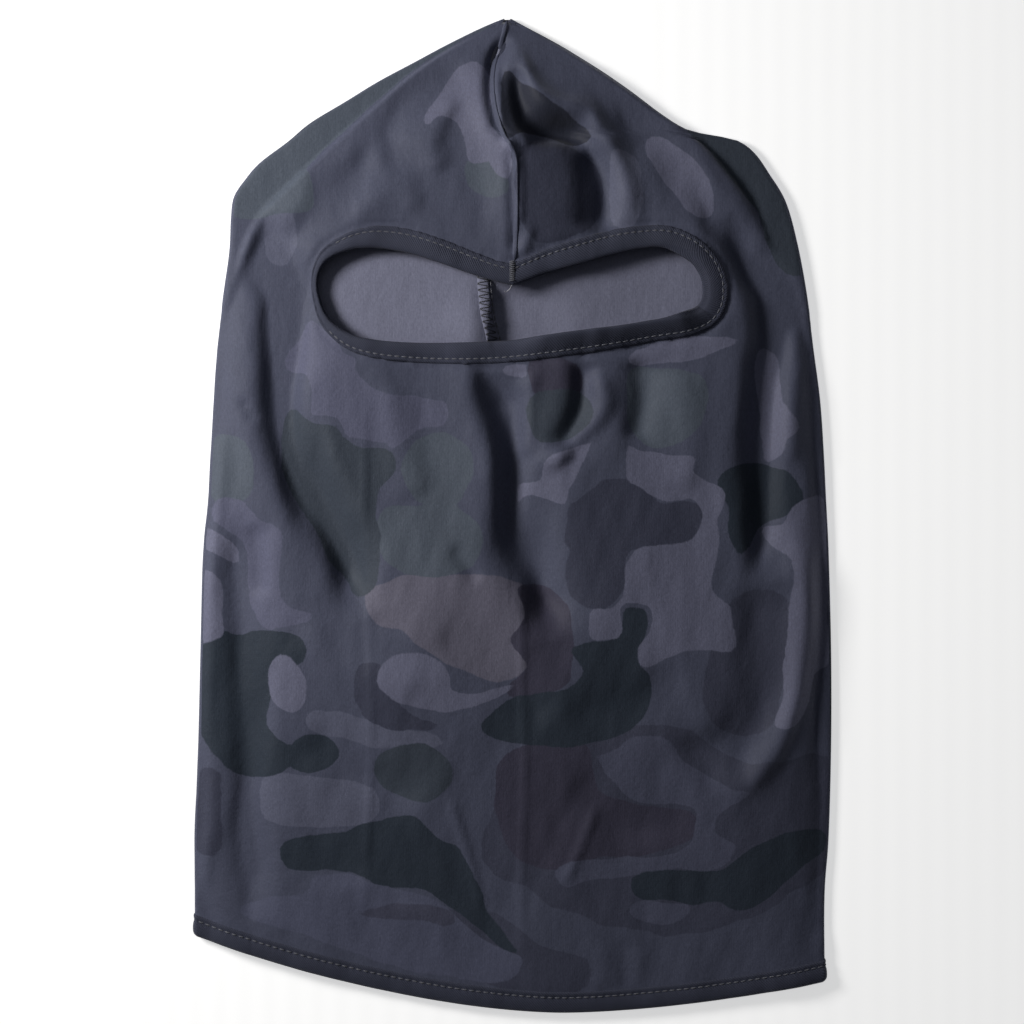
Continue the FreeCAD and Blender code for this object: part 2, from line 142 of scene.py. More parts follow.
bpy.ops.mesh.primitive_plane_add(size=TABLE_SIZE, location=(0, 0, 0))
table = bpy.context.object
table.name = "white_table"
board = Finish("white_board")
board_place = board.add("TexCoord", {}).outputs["Object"]
board_flutes = board.add("TexWave", {"Vector": board_place, "Scale": FLUTE_SCALE, "Distortion": 0.4,
                                     "Detail": 1.0})
board.put(board.mix(FLUTE_SHARE, TABLE_WHITE, board_flutes.outputs[0]), board.shader.inputs["Base Color"])
board.shader.inputs["Roughness"].default_value = TABLE_ROUGHNESS
board.shader.inputs["Emission Color"].default_value = (1.0, 1.0, 1.0, 1.0)
board.shader.inputs["Emission Strength"].default_value = TABLE_GLOW
table.data.materials.append(board.material)

# ---------------------------------------------------------------- hood
# One tube of fine polyester and elastane jersey, cut as a single blank and closed by one seam that
# runs over the crown and down the back. The print is on the outside, and the inside is plain grey.
LEFT_SIDE = [(-127.5, -200), (-127.6, -160), (-127.6, -134), (-126, -94), (-125, -54), (-124, -14),
             (-122, 6), (-121, 26), (-120, 46), (-118.6, 66), (-116, 88), (-113.5, 106), (-112.8, 120),
             (-111.6, 128), (-107, 135), (-101, 141.8), (-90, 150), (-81, 157.5), (-67, 166), (-54, 174),
             (-39, 182), (-27, 188.5), (-16, 194), (-8, 197.6), (-3, 199.6)]
RIGHT_SIDE = [(125.2, -200), (125.4, -160), (127, -134), (128, -94), (128, -54), (127, -14), (126, 6),
              (125, 26), (123.6, 46), (121, 66), (117.8, 90), (114, 110), (109.5, 126), (103, 137),
              (97, 145.5), (90, 150.5), (80, 152.5), (69, 155), (59, 161.3), (48, 169.6), (38, 176.6),
              (30, 181.8), (19, 188.6), (8, 194.6), (-1, 199.6)]
# At the crown the front layer folds back before the outline, and the back layer shows beyond its fold.
FRONT_LEFT = [(-3, 199.6), (-14, 193), (-26, 186.5), (-42, 175.5), (-61, 158.8), (-73, 148), (-84, 137.5),
              (-94, 128), (-102, 119), (-107.5, 108), (-111.5, 96), (-115.5, 84), (-118.7, 68)]
FRONT_RIGHT = [(-1, 199.6), (8, 194), (19, 188), (30, 181.2), (38, 176), (48, 169), (59, 161), (67, 156),
               (76, 148.5), (84, 140), (91, 131), (97, 121.5), (101.5, 112), (107, 102), (113, 93),
               (117.5, 80), (121, 66)]
HEM_LOWEST = 20.0
HEM_RISE = {"left": (31.0, 148.0), "right": (13.0, 108.0)}
HEM_CURVE = 1.7
CLOTH = 0.55


def smooth_line(points, steps=6, closed=False):
    """A smooth line through a few given points."""
    p = np.array(points, float)
    before, after, later = np.roll(p, 1, 0), np.roll(p, -1, 0), np.roll(p, -2, 0)
    if not closed:
        before[0] = 2 * p[0] - p[1]
        later[-2] = 2 * p[-1] - p[-2]
        before, p1, after, later = before[:-1], p[:-1], after[:-1], later[:-1]
    else:
        p1 = p
    t = np.linspace(0, 1, steps, endpoint=False)[:, None, None]
    line = 0.5 * (2 * p1 + (after - before) * t + (2 * before - 5 * p1 + 4 * after - later) * t**2
                  + (3 * p1 - before - 3 * after + later) * t**3)
    line = line.transpose(1, 0, 2).reshape(-1, p.shape[1])
    return line if closed else np.vstack([line, p[-1]])


def measure_to(line, x, y, closed=False):
    """How far each point is from a line, on which side, how far along it, and whether it is inside."""
    starts, ends = (line, np.roll(line, -1, 0)) if closed else (line[:-1], line[1:])
    runs = np.hypot(*(ends - starts).T)
    gone = np.concatenate([[0], np.cumsum(runs)])
    nearest, side, along = np.full(x.shape, 1e9), np.zeros(x.shape), np.zeros(x.shape)
    inside = np.zeros(x.shape, bool)
    for (ax, ay), (bx, by), run, before in zip(starts, ends, runs, gone):
        dx, dy = bx - ax, by - ay
        t = np.clip(((x - ax) * dx + (y - ay) * dy) / max(run * run, 1e-9), 0, 1)
        ox, oy = x - ax - t * dx, y - ay - t * dy
        far = np.hypot(ox, oy)
        closer = far < nearest
        nearest = np.where(closer, far, nearest)
        side = np.where(closer, np.sign(dx * oy - dy * ox), side)
        along = np.where(closer, (before + t * run) / gone[-1], along)
        if closed and ay != by:
            inside ^= ((ay > y) != (by > y)) & (x < (bx - ax) * (y - ay) / (by - ay) + ax)
    return nearest, side, along, inside


def ease(share):
    share = np.clip(share, 0, 1)
    return share * share * (3 - 2 * share)


left_line, right_line = smooth_line(LEFT_SIDE), smooth_line(RIGHT_SIDE)


def left_x(y):
    return np.interp(y, left_line[:, 1], left_line[:, 0])


def right_x(y):
    return np.interp(y, right_line[:, 1], right_line[:, 0])


def hem_rise(x):
    """How much higher the cloth's lower edge is than at its lowest point."""
    (left_rise, left_reach), (right_rise, right_reach) = HEM_RISE["left"], HEM_RISE["right"]
    left = left_rise * (np.clip(HEM_LOWEST - x, 0, None) / left_reach) ** HEM_CURVE
    right = right_rise * (np.clip(x - HEM_LOWEST, 0, None) / right_reach) ** HEM_CURVE
    return left + right


# The eye opening: pairs of points on the tape's folded edge and on its sewn edge, from the brow clockwise.
EYE_EDGES = [
    ((0.3, 92.2), (0.3, 100.4)), ((15, 97.5), (13, 106)), ((28, 101), (26.5, 110.4)),
    ((40, 104.4), (39.5, 114)), ((51, 106.8), (51, 115.6)), ((60, 107.6), (61, 115.8)),
    ((67, 105.8), (70, 113)), ((73, 102.4), (78.5, 107)), ((77, 96.4), (84.6, 98.5)),
    ((78.3, 90), (86.3, 90)), ((77.4, 84.6), (85, 82)), ((74, 81), (80, 75.4)), ((67, 78.9), (71, 71.4)),
    ((55, 77), (57, 69.2)), ((43, 75), (45, 67)), ((30, 73.4), (31.5, 64.7)), ((15, 71.4), (15, 62.5)),
    ((0, 69.4), (0, 61)), ((-17, 68.5), (-17, 60)), ((-37, 68.3), (-37, 60.7)), ((-53, 69.2), (-54, 62.4)),
    ((-63, 71.2), (-65, 65.6)), ((-70, 75), (-72.6, 71.2)), ((-74.6, 79.8), (-77.5, 77.8)),
    ((-77.2, 86), (-79.8, 85)), ((-78.3, 92), (-80.8, 92)), ((-77.3, 97.6), (-80, 99)),
    ((-73.6, 102.4), (-76.4, 106)), ((-67, 105.6), (-69.6, 111)), ((-60, 107), (-61.4, 114.4)),
    ((-52, 106.9), (-52, 115.6)), ((-41, 105), (-40, 114)), ((-29, 101.2), (-26.5, 109.6)),
    ((-17, 97), (-14.5, 104.8)), ((-7, 93.9), (-6, 101.6)), ((0.3, 92.2), (0.3, 100.4)),
]
eye_fold = smooth_line([fold for fold, sewn in EYE_EDGES], 10)
eye_sewn = smooth_line([sewn for fold, sewn in EYE_EDGES], 10)
CUT_SHARE = 0.28
eye_cut = (1 - CUT_SHARE) * eye_fold + CUT_SHARE * eye_sewn

# Each fold: its height in mm, minus for a valley, its half width, and the points along it.
FOLDS = [
    # the long valley down the left, from the brow's end to the middle
    (-9.5, 8.2, [(-96, 124), (-96, 112), (-97, 100), (-94, 88), (-94, 70), (-93, 45), (-89, 26), (-81, 6),
                 (-71, -12), (-55, -40)]),
    (1.6, 7.0, [(-82, 62), (-80, 40), (-70, 14), (-60, -8)]),
    # left edge: a soft roll, and the shallow valley inside it
    (1.4, 3.6, [(-119, 40), (-120, -20), (-121, -90), (-121, -160)]),
    (-4.6, 6.6, [(-107, 2), (-109, -40), (-108, -90), (-107, -130), (-105, -164)]),
    (-1.6, 3.4, [(-102, -4), (-101, -18), (-102, -32)]),
    (-1.2, 2.0, [(-109, 46), (-103, 37)]),
    (1.2, 1.7, [(-104, 118), (-108, 106), (-112, 94), (-116, 82)]),
    # crown, left of the seam
    (-1.8, 7.0, [(-18, 184), (-28, 175), (-37, 167), (-44, 159), (-49, 151), (-46, 143), (-40, 133)]),
    (-2.4, 8.0, [(-56, 146), (-68, 136), (-76, 125), (-83, 115), (-86, 108)]),
    (1.6, 5.0, [(-24, 168), (-33, 152), (-30, 138)]),
    (1.2, 6.0, [(-66, 122), (-50, 126), (-36, 122)]),
    # the seam's own trough and the folds that fan out from it on the right
    (-4.4, 3.0, [(-1, 193), (-7, 184), (-8.5, 174), (-8, 164), (-5.5, 155), (-1, 147)]),
    (-2.6, 2.2, [(-1, 147), (0, 136), (0.5, 120), (0.5, 104)]),
    (3.8, 5.4, [(-2, 186), (5, 176), (15, 168), (28, 159.5), (40, 148), (45, 137), (47, 125), (46, 113)]),
    (-5.0, 6.0, [(1, 178), (2, 166), (9, 156), (27, 149)]),
    (2.4, 2.0, [(-5, 186), (-6.5, 174), (-5, 160), (-2.6, 151), (1.5, 142), (2.4, 128), (2.2, 108)]),
    (-4.6, 6.4, [(6, 153), (21, 151), (30, 145), (37, 135), (38, 125), (35, 112)]),
    (-2.6, 8.0, [(26, 146), (31, 130), (30, 114)]),
    (1.4, 3.0, [(-2, 152), (7, 150.5)]),
    (-2.2, 9.0, [(42, 165), (52, 154), (61, 142), (70, 130), (79, 121), (88, 112), (96, 102)]),
    (-8.0, 7.6, [(82, 118), (90, 110), (97, 100), (102, 90), (103, 78), (103, 66), (100, 50), (99, 22),
                 (100, -8), (104, -26)]),
    (1.4, 6.0, [(66, 151), (78, 138), (86, 128), (94, 116), (102, 104), (108, 92), (112, 78)]),
    (2.2, 4.5, [(112, 78), (114, 58), (112, 40), (112, 20)]),
    (1.4, 9.0, [(52, 148), (66, 130), (74, 116), (78, 96)]),
    (1.2, 1.8, [(8, 115), (4, 104)]),
    (1.0, 1.8, [(98, 137), (106, 124)]),
    # under the eye opening
    (-9.0, 8.8, [(-7, 62), (-5, 44), (-1, 26), (1, 8), (4, -10), (9, -28), (14, -50)]),
    (2.4, 4.6, [(6, 58), (6, 40), (8, 22)]),
    (1.2, 4.0, [(-16, 58), (-14, 36), (-10, 10)]),
    (-4.8, 5.6, [(28, 63), (29, 48), (27, 37), (19, 26)]),
    (3.0, 3.4, [(37, 60), (37, 46), (32, 36), (22, 26), (13, 18)]),
    (-3.2, 6.2, [(49, 62), (49, 46), (47, 28)]),
    (1.6, 6.0, [(70, 60), (72, 34), (68, 10)]),
    (1.6, 7.0, [(-46, 54), (-44, 30), (-34, 6)]),
    # right edge
    (2.4, 5.5, [(116, -10), (116, -45), (114, -66), (110, -84), (103, -98), (94, -106), (84, -111)]),
    (-3.4, 8.5, [(99, -26), (100, -48), (98, -70), (91, -86), (80, -94), (66, -98)]),
    (-3.4, 4.6, [(124, 60), (127, 20), (128, -40), (127, -110), (125, -160)]),
    (-1.2, 9.0, [(24, -84), (46, -74), (70, -66)]),
    # middle and lower front
    (-1.4, 2.8, [(-24, -13), (-19, -20), (-14, -27)]),
    (1.0, 1.6, [(-26, -112), (-22, -122), (-15, -145), (-12, -160)]),
    (1.0, 1.6, [(34, -116), (28, -132), (21, -148)]),
    (-1.6, 8.0, [(-30, -46), (-8, -60), (14, -84)]),
    (1.4, 9.0, [(-88, -46), (-62, -62), (-34, -72)]),
    (-1.6, 8.0, [(-84, -90), (-60, -104), (-34, -112)]),
    (-1.6, 9.0, [(20, -112), (40, -122), (74, -126)]),
    (1.0, 8.0, [(-84, -148), (-52, -154), (-20, -168)]),
    (-0.5, 3.0, [(44, -170), (44.5, -192)]),
    (0.4, 3.0, [(36, -172), (37, -190)]),
    (0.4, 3.0, [(51, -174), (51, -190)]),
    # creases left by the packing
    (0.6, 1.1, [(-58, 46), (-59, 10), (-57, -40), (-56, -90), (-58, -130), (-60, -166)]),
    (0.7, 1.1, [(3, -18), (4, -60), (5, -105), (4, -140), (4, -184)]),
]

# A fold is steeper on one side. Folds wider than this wander a little, as limp cloth does.
LEAN = 0.22
STRAIGHT_FOLD = 3
FOLD_REACH = 3.2

# Broad swells of the front layer: height, middle and half width across, middle and half length along.
SWELLS = [(-3.0, -80, 18, 90, 26), (4.2, -14, 46, -52, 62), (1.6, -4, 34, 24, 36)]
BODY_HEIGHT, LESS_AT_HEM, LESS_AT_TIP = 9.6, 4.6, 4.2
SEAM_RIDGE, RIDGE_REACH = 5.2, 36
SIDE_HEIGHT, MORE_AT_HEM, MORE_AT_CROWN, SIDE_REACH = 2.0, 1.9, 4.4, 11.0
GROOVE_DEEP, GROOVE_WIDE = 1.0, 1.5
# The back layer rests on the table, with a hump behind the eyes that ends in a step at its seam.
BACK_REST, BACK_HUMP, SEAM_HUMP, SEAM_STEP, HEM_LIFT = 0.4, 3.4, (2.6, -14, 9, 74, 11), 5.6, 0.85
LAYERS_APART, LAYERS_CLOSEST, SOFTENED = 2.3, 1.6, 0.5

GRID_LEFT, GRID_LOW = -131.0, -203.0
grid_x, grid_y = np.meshgrid(np.arange(GRID_LEFT, 1 - GRID_LEFT), np.arange(GRID_LOW, 1 - GRID_LOW))


def waves(x, y, seed, count, shortest, longest, height):
    """Faint, uneven ripples, as limp cloth has."""
    draw = np.random.RandomState(seed)
    total = np.zeros(x.shape)
    for _ in range(count):
        length = math.exp(draw.uniform(math.log(shortest), math.log(longest)))
        turn = draw.uniform(-0.9, 0.9)
        phase = 2 * math.pi * (x * math.cos(turn) + y * math.sin(turn) * 0.6) / length + draw.uniform(0, 6.28)
        total += np.sin(phase) * length / longest
    return total * height / math.sqrt(count)


def swell(rise, x, wide, y, long):
    return rise * np.exp(-((grid_x - x) / wide) ** 2 - ((grid_y - y) / long) ** 2)


def lay_front():
    """Height of the front layer's middle over the table, on a millimetre grid."""
    outline = np.vstack([left_line, right_line[::-1]])
    flap, _, _, inside = measure_to(outline, grid_x, grid_y, closed=True)
    flap = np.where(inside, flap, 0)
    body_left, body_right = left_line[left_line[:, 1] < 66], right_line[right_line[:, 1] < 64]
    folded = np.vstack([body_left, smooth_line(FRONT_LEFT)[::-1], smooth_line(FRONT_RIGHT), body_right[::-1]])
    edge, _, _, inside = measure_to(folded, grid_x, grid_y, closed=True)
    edge = np.where(inside, edge, -edge)
    full = BODY_HEIGHT - LESS_AT_HEM * ease((-40 - grid_y) / 150) - LESS_AT_TIP * ease((grid_y - 150) / 52)
    for broad in SWELLS:
        full += swell(*broad)
    past_seam = (grid_x - np.interp(grid_y, [100, 142, 165, 190], [1.5, 1.5, -7.0, -4.5])) / RIDGE_REACH
    falls = np.where(past_seam > 0, (1 - past_seam).clip(-0.35, 1), np.exp(-(past_seam / 0.28) ** 2))
    full += SEAM_RIDGE * falls * np.exp(-((grid_y - 140) / 34) ** 4) * ease((95 - grid_x) / 40)
    crown = ease((grid_y - 88) / 24) * ease((204 - grid_y) / 30)
    at_side = SIDE_HEIGHT + MORE_AT_HEM * ease((-165 - grid_y) / 25) + MORE_AT_CROWN * crown
    height = at_side + (full - at_side) * (1 - np.exp(-(edge.clip(0) / SIDE_REACH) ** 1.35))
    height += waves(grid_x, grid_y, 4, 16, 22, 90, 1.0) * ease(edge / 12)
    height += waves(grid_x, grid_y, 9, 22, 7, 18, 0.16) * ease(edge / 8)
    drift_x = grid_x + waves(grid_x, grid_y, 31, 14, 14, 44, 2.6)
    drift_y = grid_y + waves(grid_x, grid_y, 32, 14, 14, 44, 2.6)
    for rise, wide, points in FOLDS:
        line = smooth_line(points)
        low, high = line.min(0) - FOLD_REACH * wide, line.max(0) + FOLD_REACH * wide
        near = (grid_x > low[0]) & (grid_x < high[0]) & (grid_y > low[1]) & (grid_y < high[1])
        x, y = (drift_x, drift_y) if wide > STRAIGHT_FOLD else (grid_x, grid_y)
        far, side, along, _ = measure_to(line, x[near], y[near])
        taper = ease((along + 0.04) / 0.2) * ease((1.04 - along) / 0.2)
        steep = 1 + LEAN * side * np.sign(rise) * (1 if line[0, 1] > line[-1, 1] else -1)
        height[near] += rise * taper * np.exp(-(far * steep / wide) ** 2)
    past_fold = ease(0.5 - edge / 1.8)
    beside_tape, _, _, in_eye = measure_to(eye_sewn, grid_x, grid_y, closed=True)
    height -= np.where(in_eye, 0.0, GROOVE_DEEP * np.exp(-(beside_tape / GROOVE_WIDE) ** 2))
    flap_waves = waves(grid_x, grid_y, 12, 10, 12, 40, 0.4).clip(0)
    flap_height = back_height + LAYERS_APART + flap_waves * ease(flap / 6)
    height = height * (1 - past_fold) + flap_height * past_fold
    return height


def lay_back():
    """Height of the back layer's middle, which rests on the table and humps a little behind the eyes."""
    behind_eyes = np.exp(-((grid_y - 88) / 42) ** 2)
    hump = BACK_HUMP * np.exp(-((grid_x + 8) / np.where(grid_x < -8, 60, 34)) ** 2) * behind_eyes
    hump += swell(*SEAM_HUMP)
    past_seam = grid_x - np.interp(grid_y, [66, 95], [-9.6, -7.8])
    hump -= SEAM_STEP * ease((97 - grid_y) / 16) * ease((grid_y - 40) / 20) * ease(past_seam / 1.2) \
        * (1 - ease((past_seam - 9) / 26))
    hump += HEM_LIFT * ease((hem_rise(grid_x) - 176 - grid_y) / 10)
    uneven = 0.25 * (1 + waves(grid_x, grid_y, 21, 12, 30, 80, 1.0)).clip(0, 2)
    return np.maximum(BACK_REST, BACK_REST + hump + uneven)


back_height = lay_back()
front_height = lay_front()
least = back_height + LAYERS_APART
settled = least - SOFTENED * np.tanh((least - front_height) / SOFTENED)
front_height = np.where(front_height > least, front_height, settled)
front_height = np.maximum(front_height, back_height + LAYERS_CLOSEST)


def look_up(height, x, y):
    """Height at any place, between the grid's four nearest points."""
    column = np.clip(np.asarray(x, float) - GRID_LEFT, 0, grid_x.shape[1] - 1.001)
    row = np.clip(np.asarray(y, float) - GRID_LOW, 0, grid_x.shape[0] - 1.001)
    c, r = column.astype(int), row.astype(int)
    s, t = column - c, row - r
    low = height[r, c] * (1 - s) + height[r, c + 1] * s
    high = height[r + 1, c] * (1 - s) + height[r + 1, c + 1] * s
    return low * (1 - t) + high * t


def lie(x, y):
    return look_up(front_height, x, y)


# Round the tube, the front ends at 1.0, the turn at the right at 1.1, the back at 2.1 and the left turn at 2.2.
FRONT_END, RIGHT_TURN_END, BACK_END, ALL_ROUND = 1.0, 1.1, 2.1, 2.2
TURN_INSET, TURN_WIDEST = 0.9, 1.2


def hood_surface(around, y):
    """Points of the cloth's middle, at places round the tube and at heights along it."""
    around, y = np.broadcast_arrays(np.asarray(around, float) % ALL_ROUND, np.asarray(y, float))
    left, right = left_x(y) + TURN_INSET, right_x(y) - TURN_INSET
    share = np.where(around <= RIGHT_TURN_END, np.clip(around, 0, 1), np.clip(BACK_END - around, 0, 1))
    x = left + np.maximum(right - left, 0.6) * share
    near_hem = np.clip((-90 - y) / 100, 0, 1) ** 1.5
    behind = np.clip(np.minimum((around - FRONT_END) / 0.1, (ALL_ROUND - around) / 0.1), 0, 1)
    y = y + near_hem * (hem_rise(x) + 1.5 * behind)
    front, back = lie(x, y), look_up(back_height, x, y)
    radius = (front - back) / 2
    turn = np.select([around <= FRONT_END, around < RIGHT_TURN_END, around <= BACK_END],
                     [0.0, (around - FRONT_END) / 0.1, 1.0], (ALL_ROUND - around) / 0.1) * math.pi
    at_right, at_left = (around > FRONT_END) & (around < RIGHT_TURN_END), around > BACK_END
    x = x + np.where(at_right, 1.0, np.where(at_left, -1.0, 0.0)) * radius.clip(0, TURN_WIDEST) * np.sin(turn)
    z = np.where(at_right | at_left, (front + back) / 2 + radius * np.cos(turn),
                 np.where(around <= FRONT_END, front, back))
    return np.stack([x, y, z], -1)


def oval(x, y, half_wide, half_tall, slant=0.0):
    """A rounded patch of the print."""
    turns = np.linspace(0, 2 * math.pi, 12, endpoint=False)
    a, b = half_wide * np.cos(turns), half_tall * np.sin(turns)
    return [(x + p * math.cos(slant) - q * math.sin(slant), y + p * math.sin(slant) + q * math.cos(slant))
            for p, q in zip(a, b)]
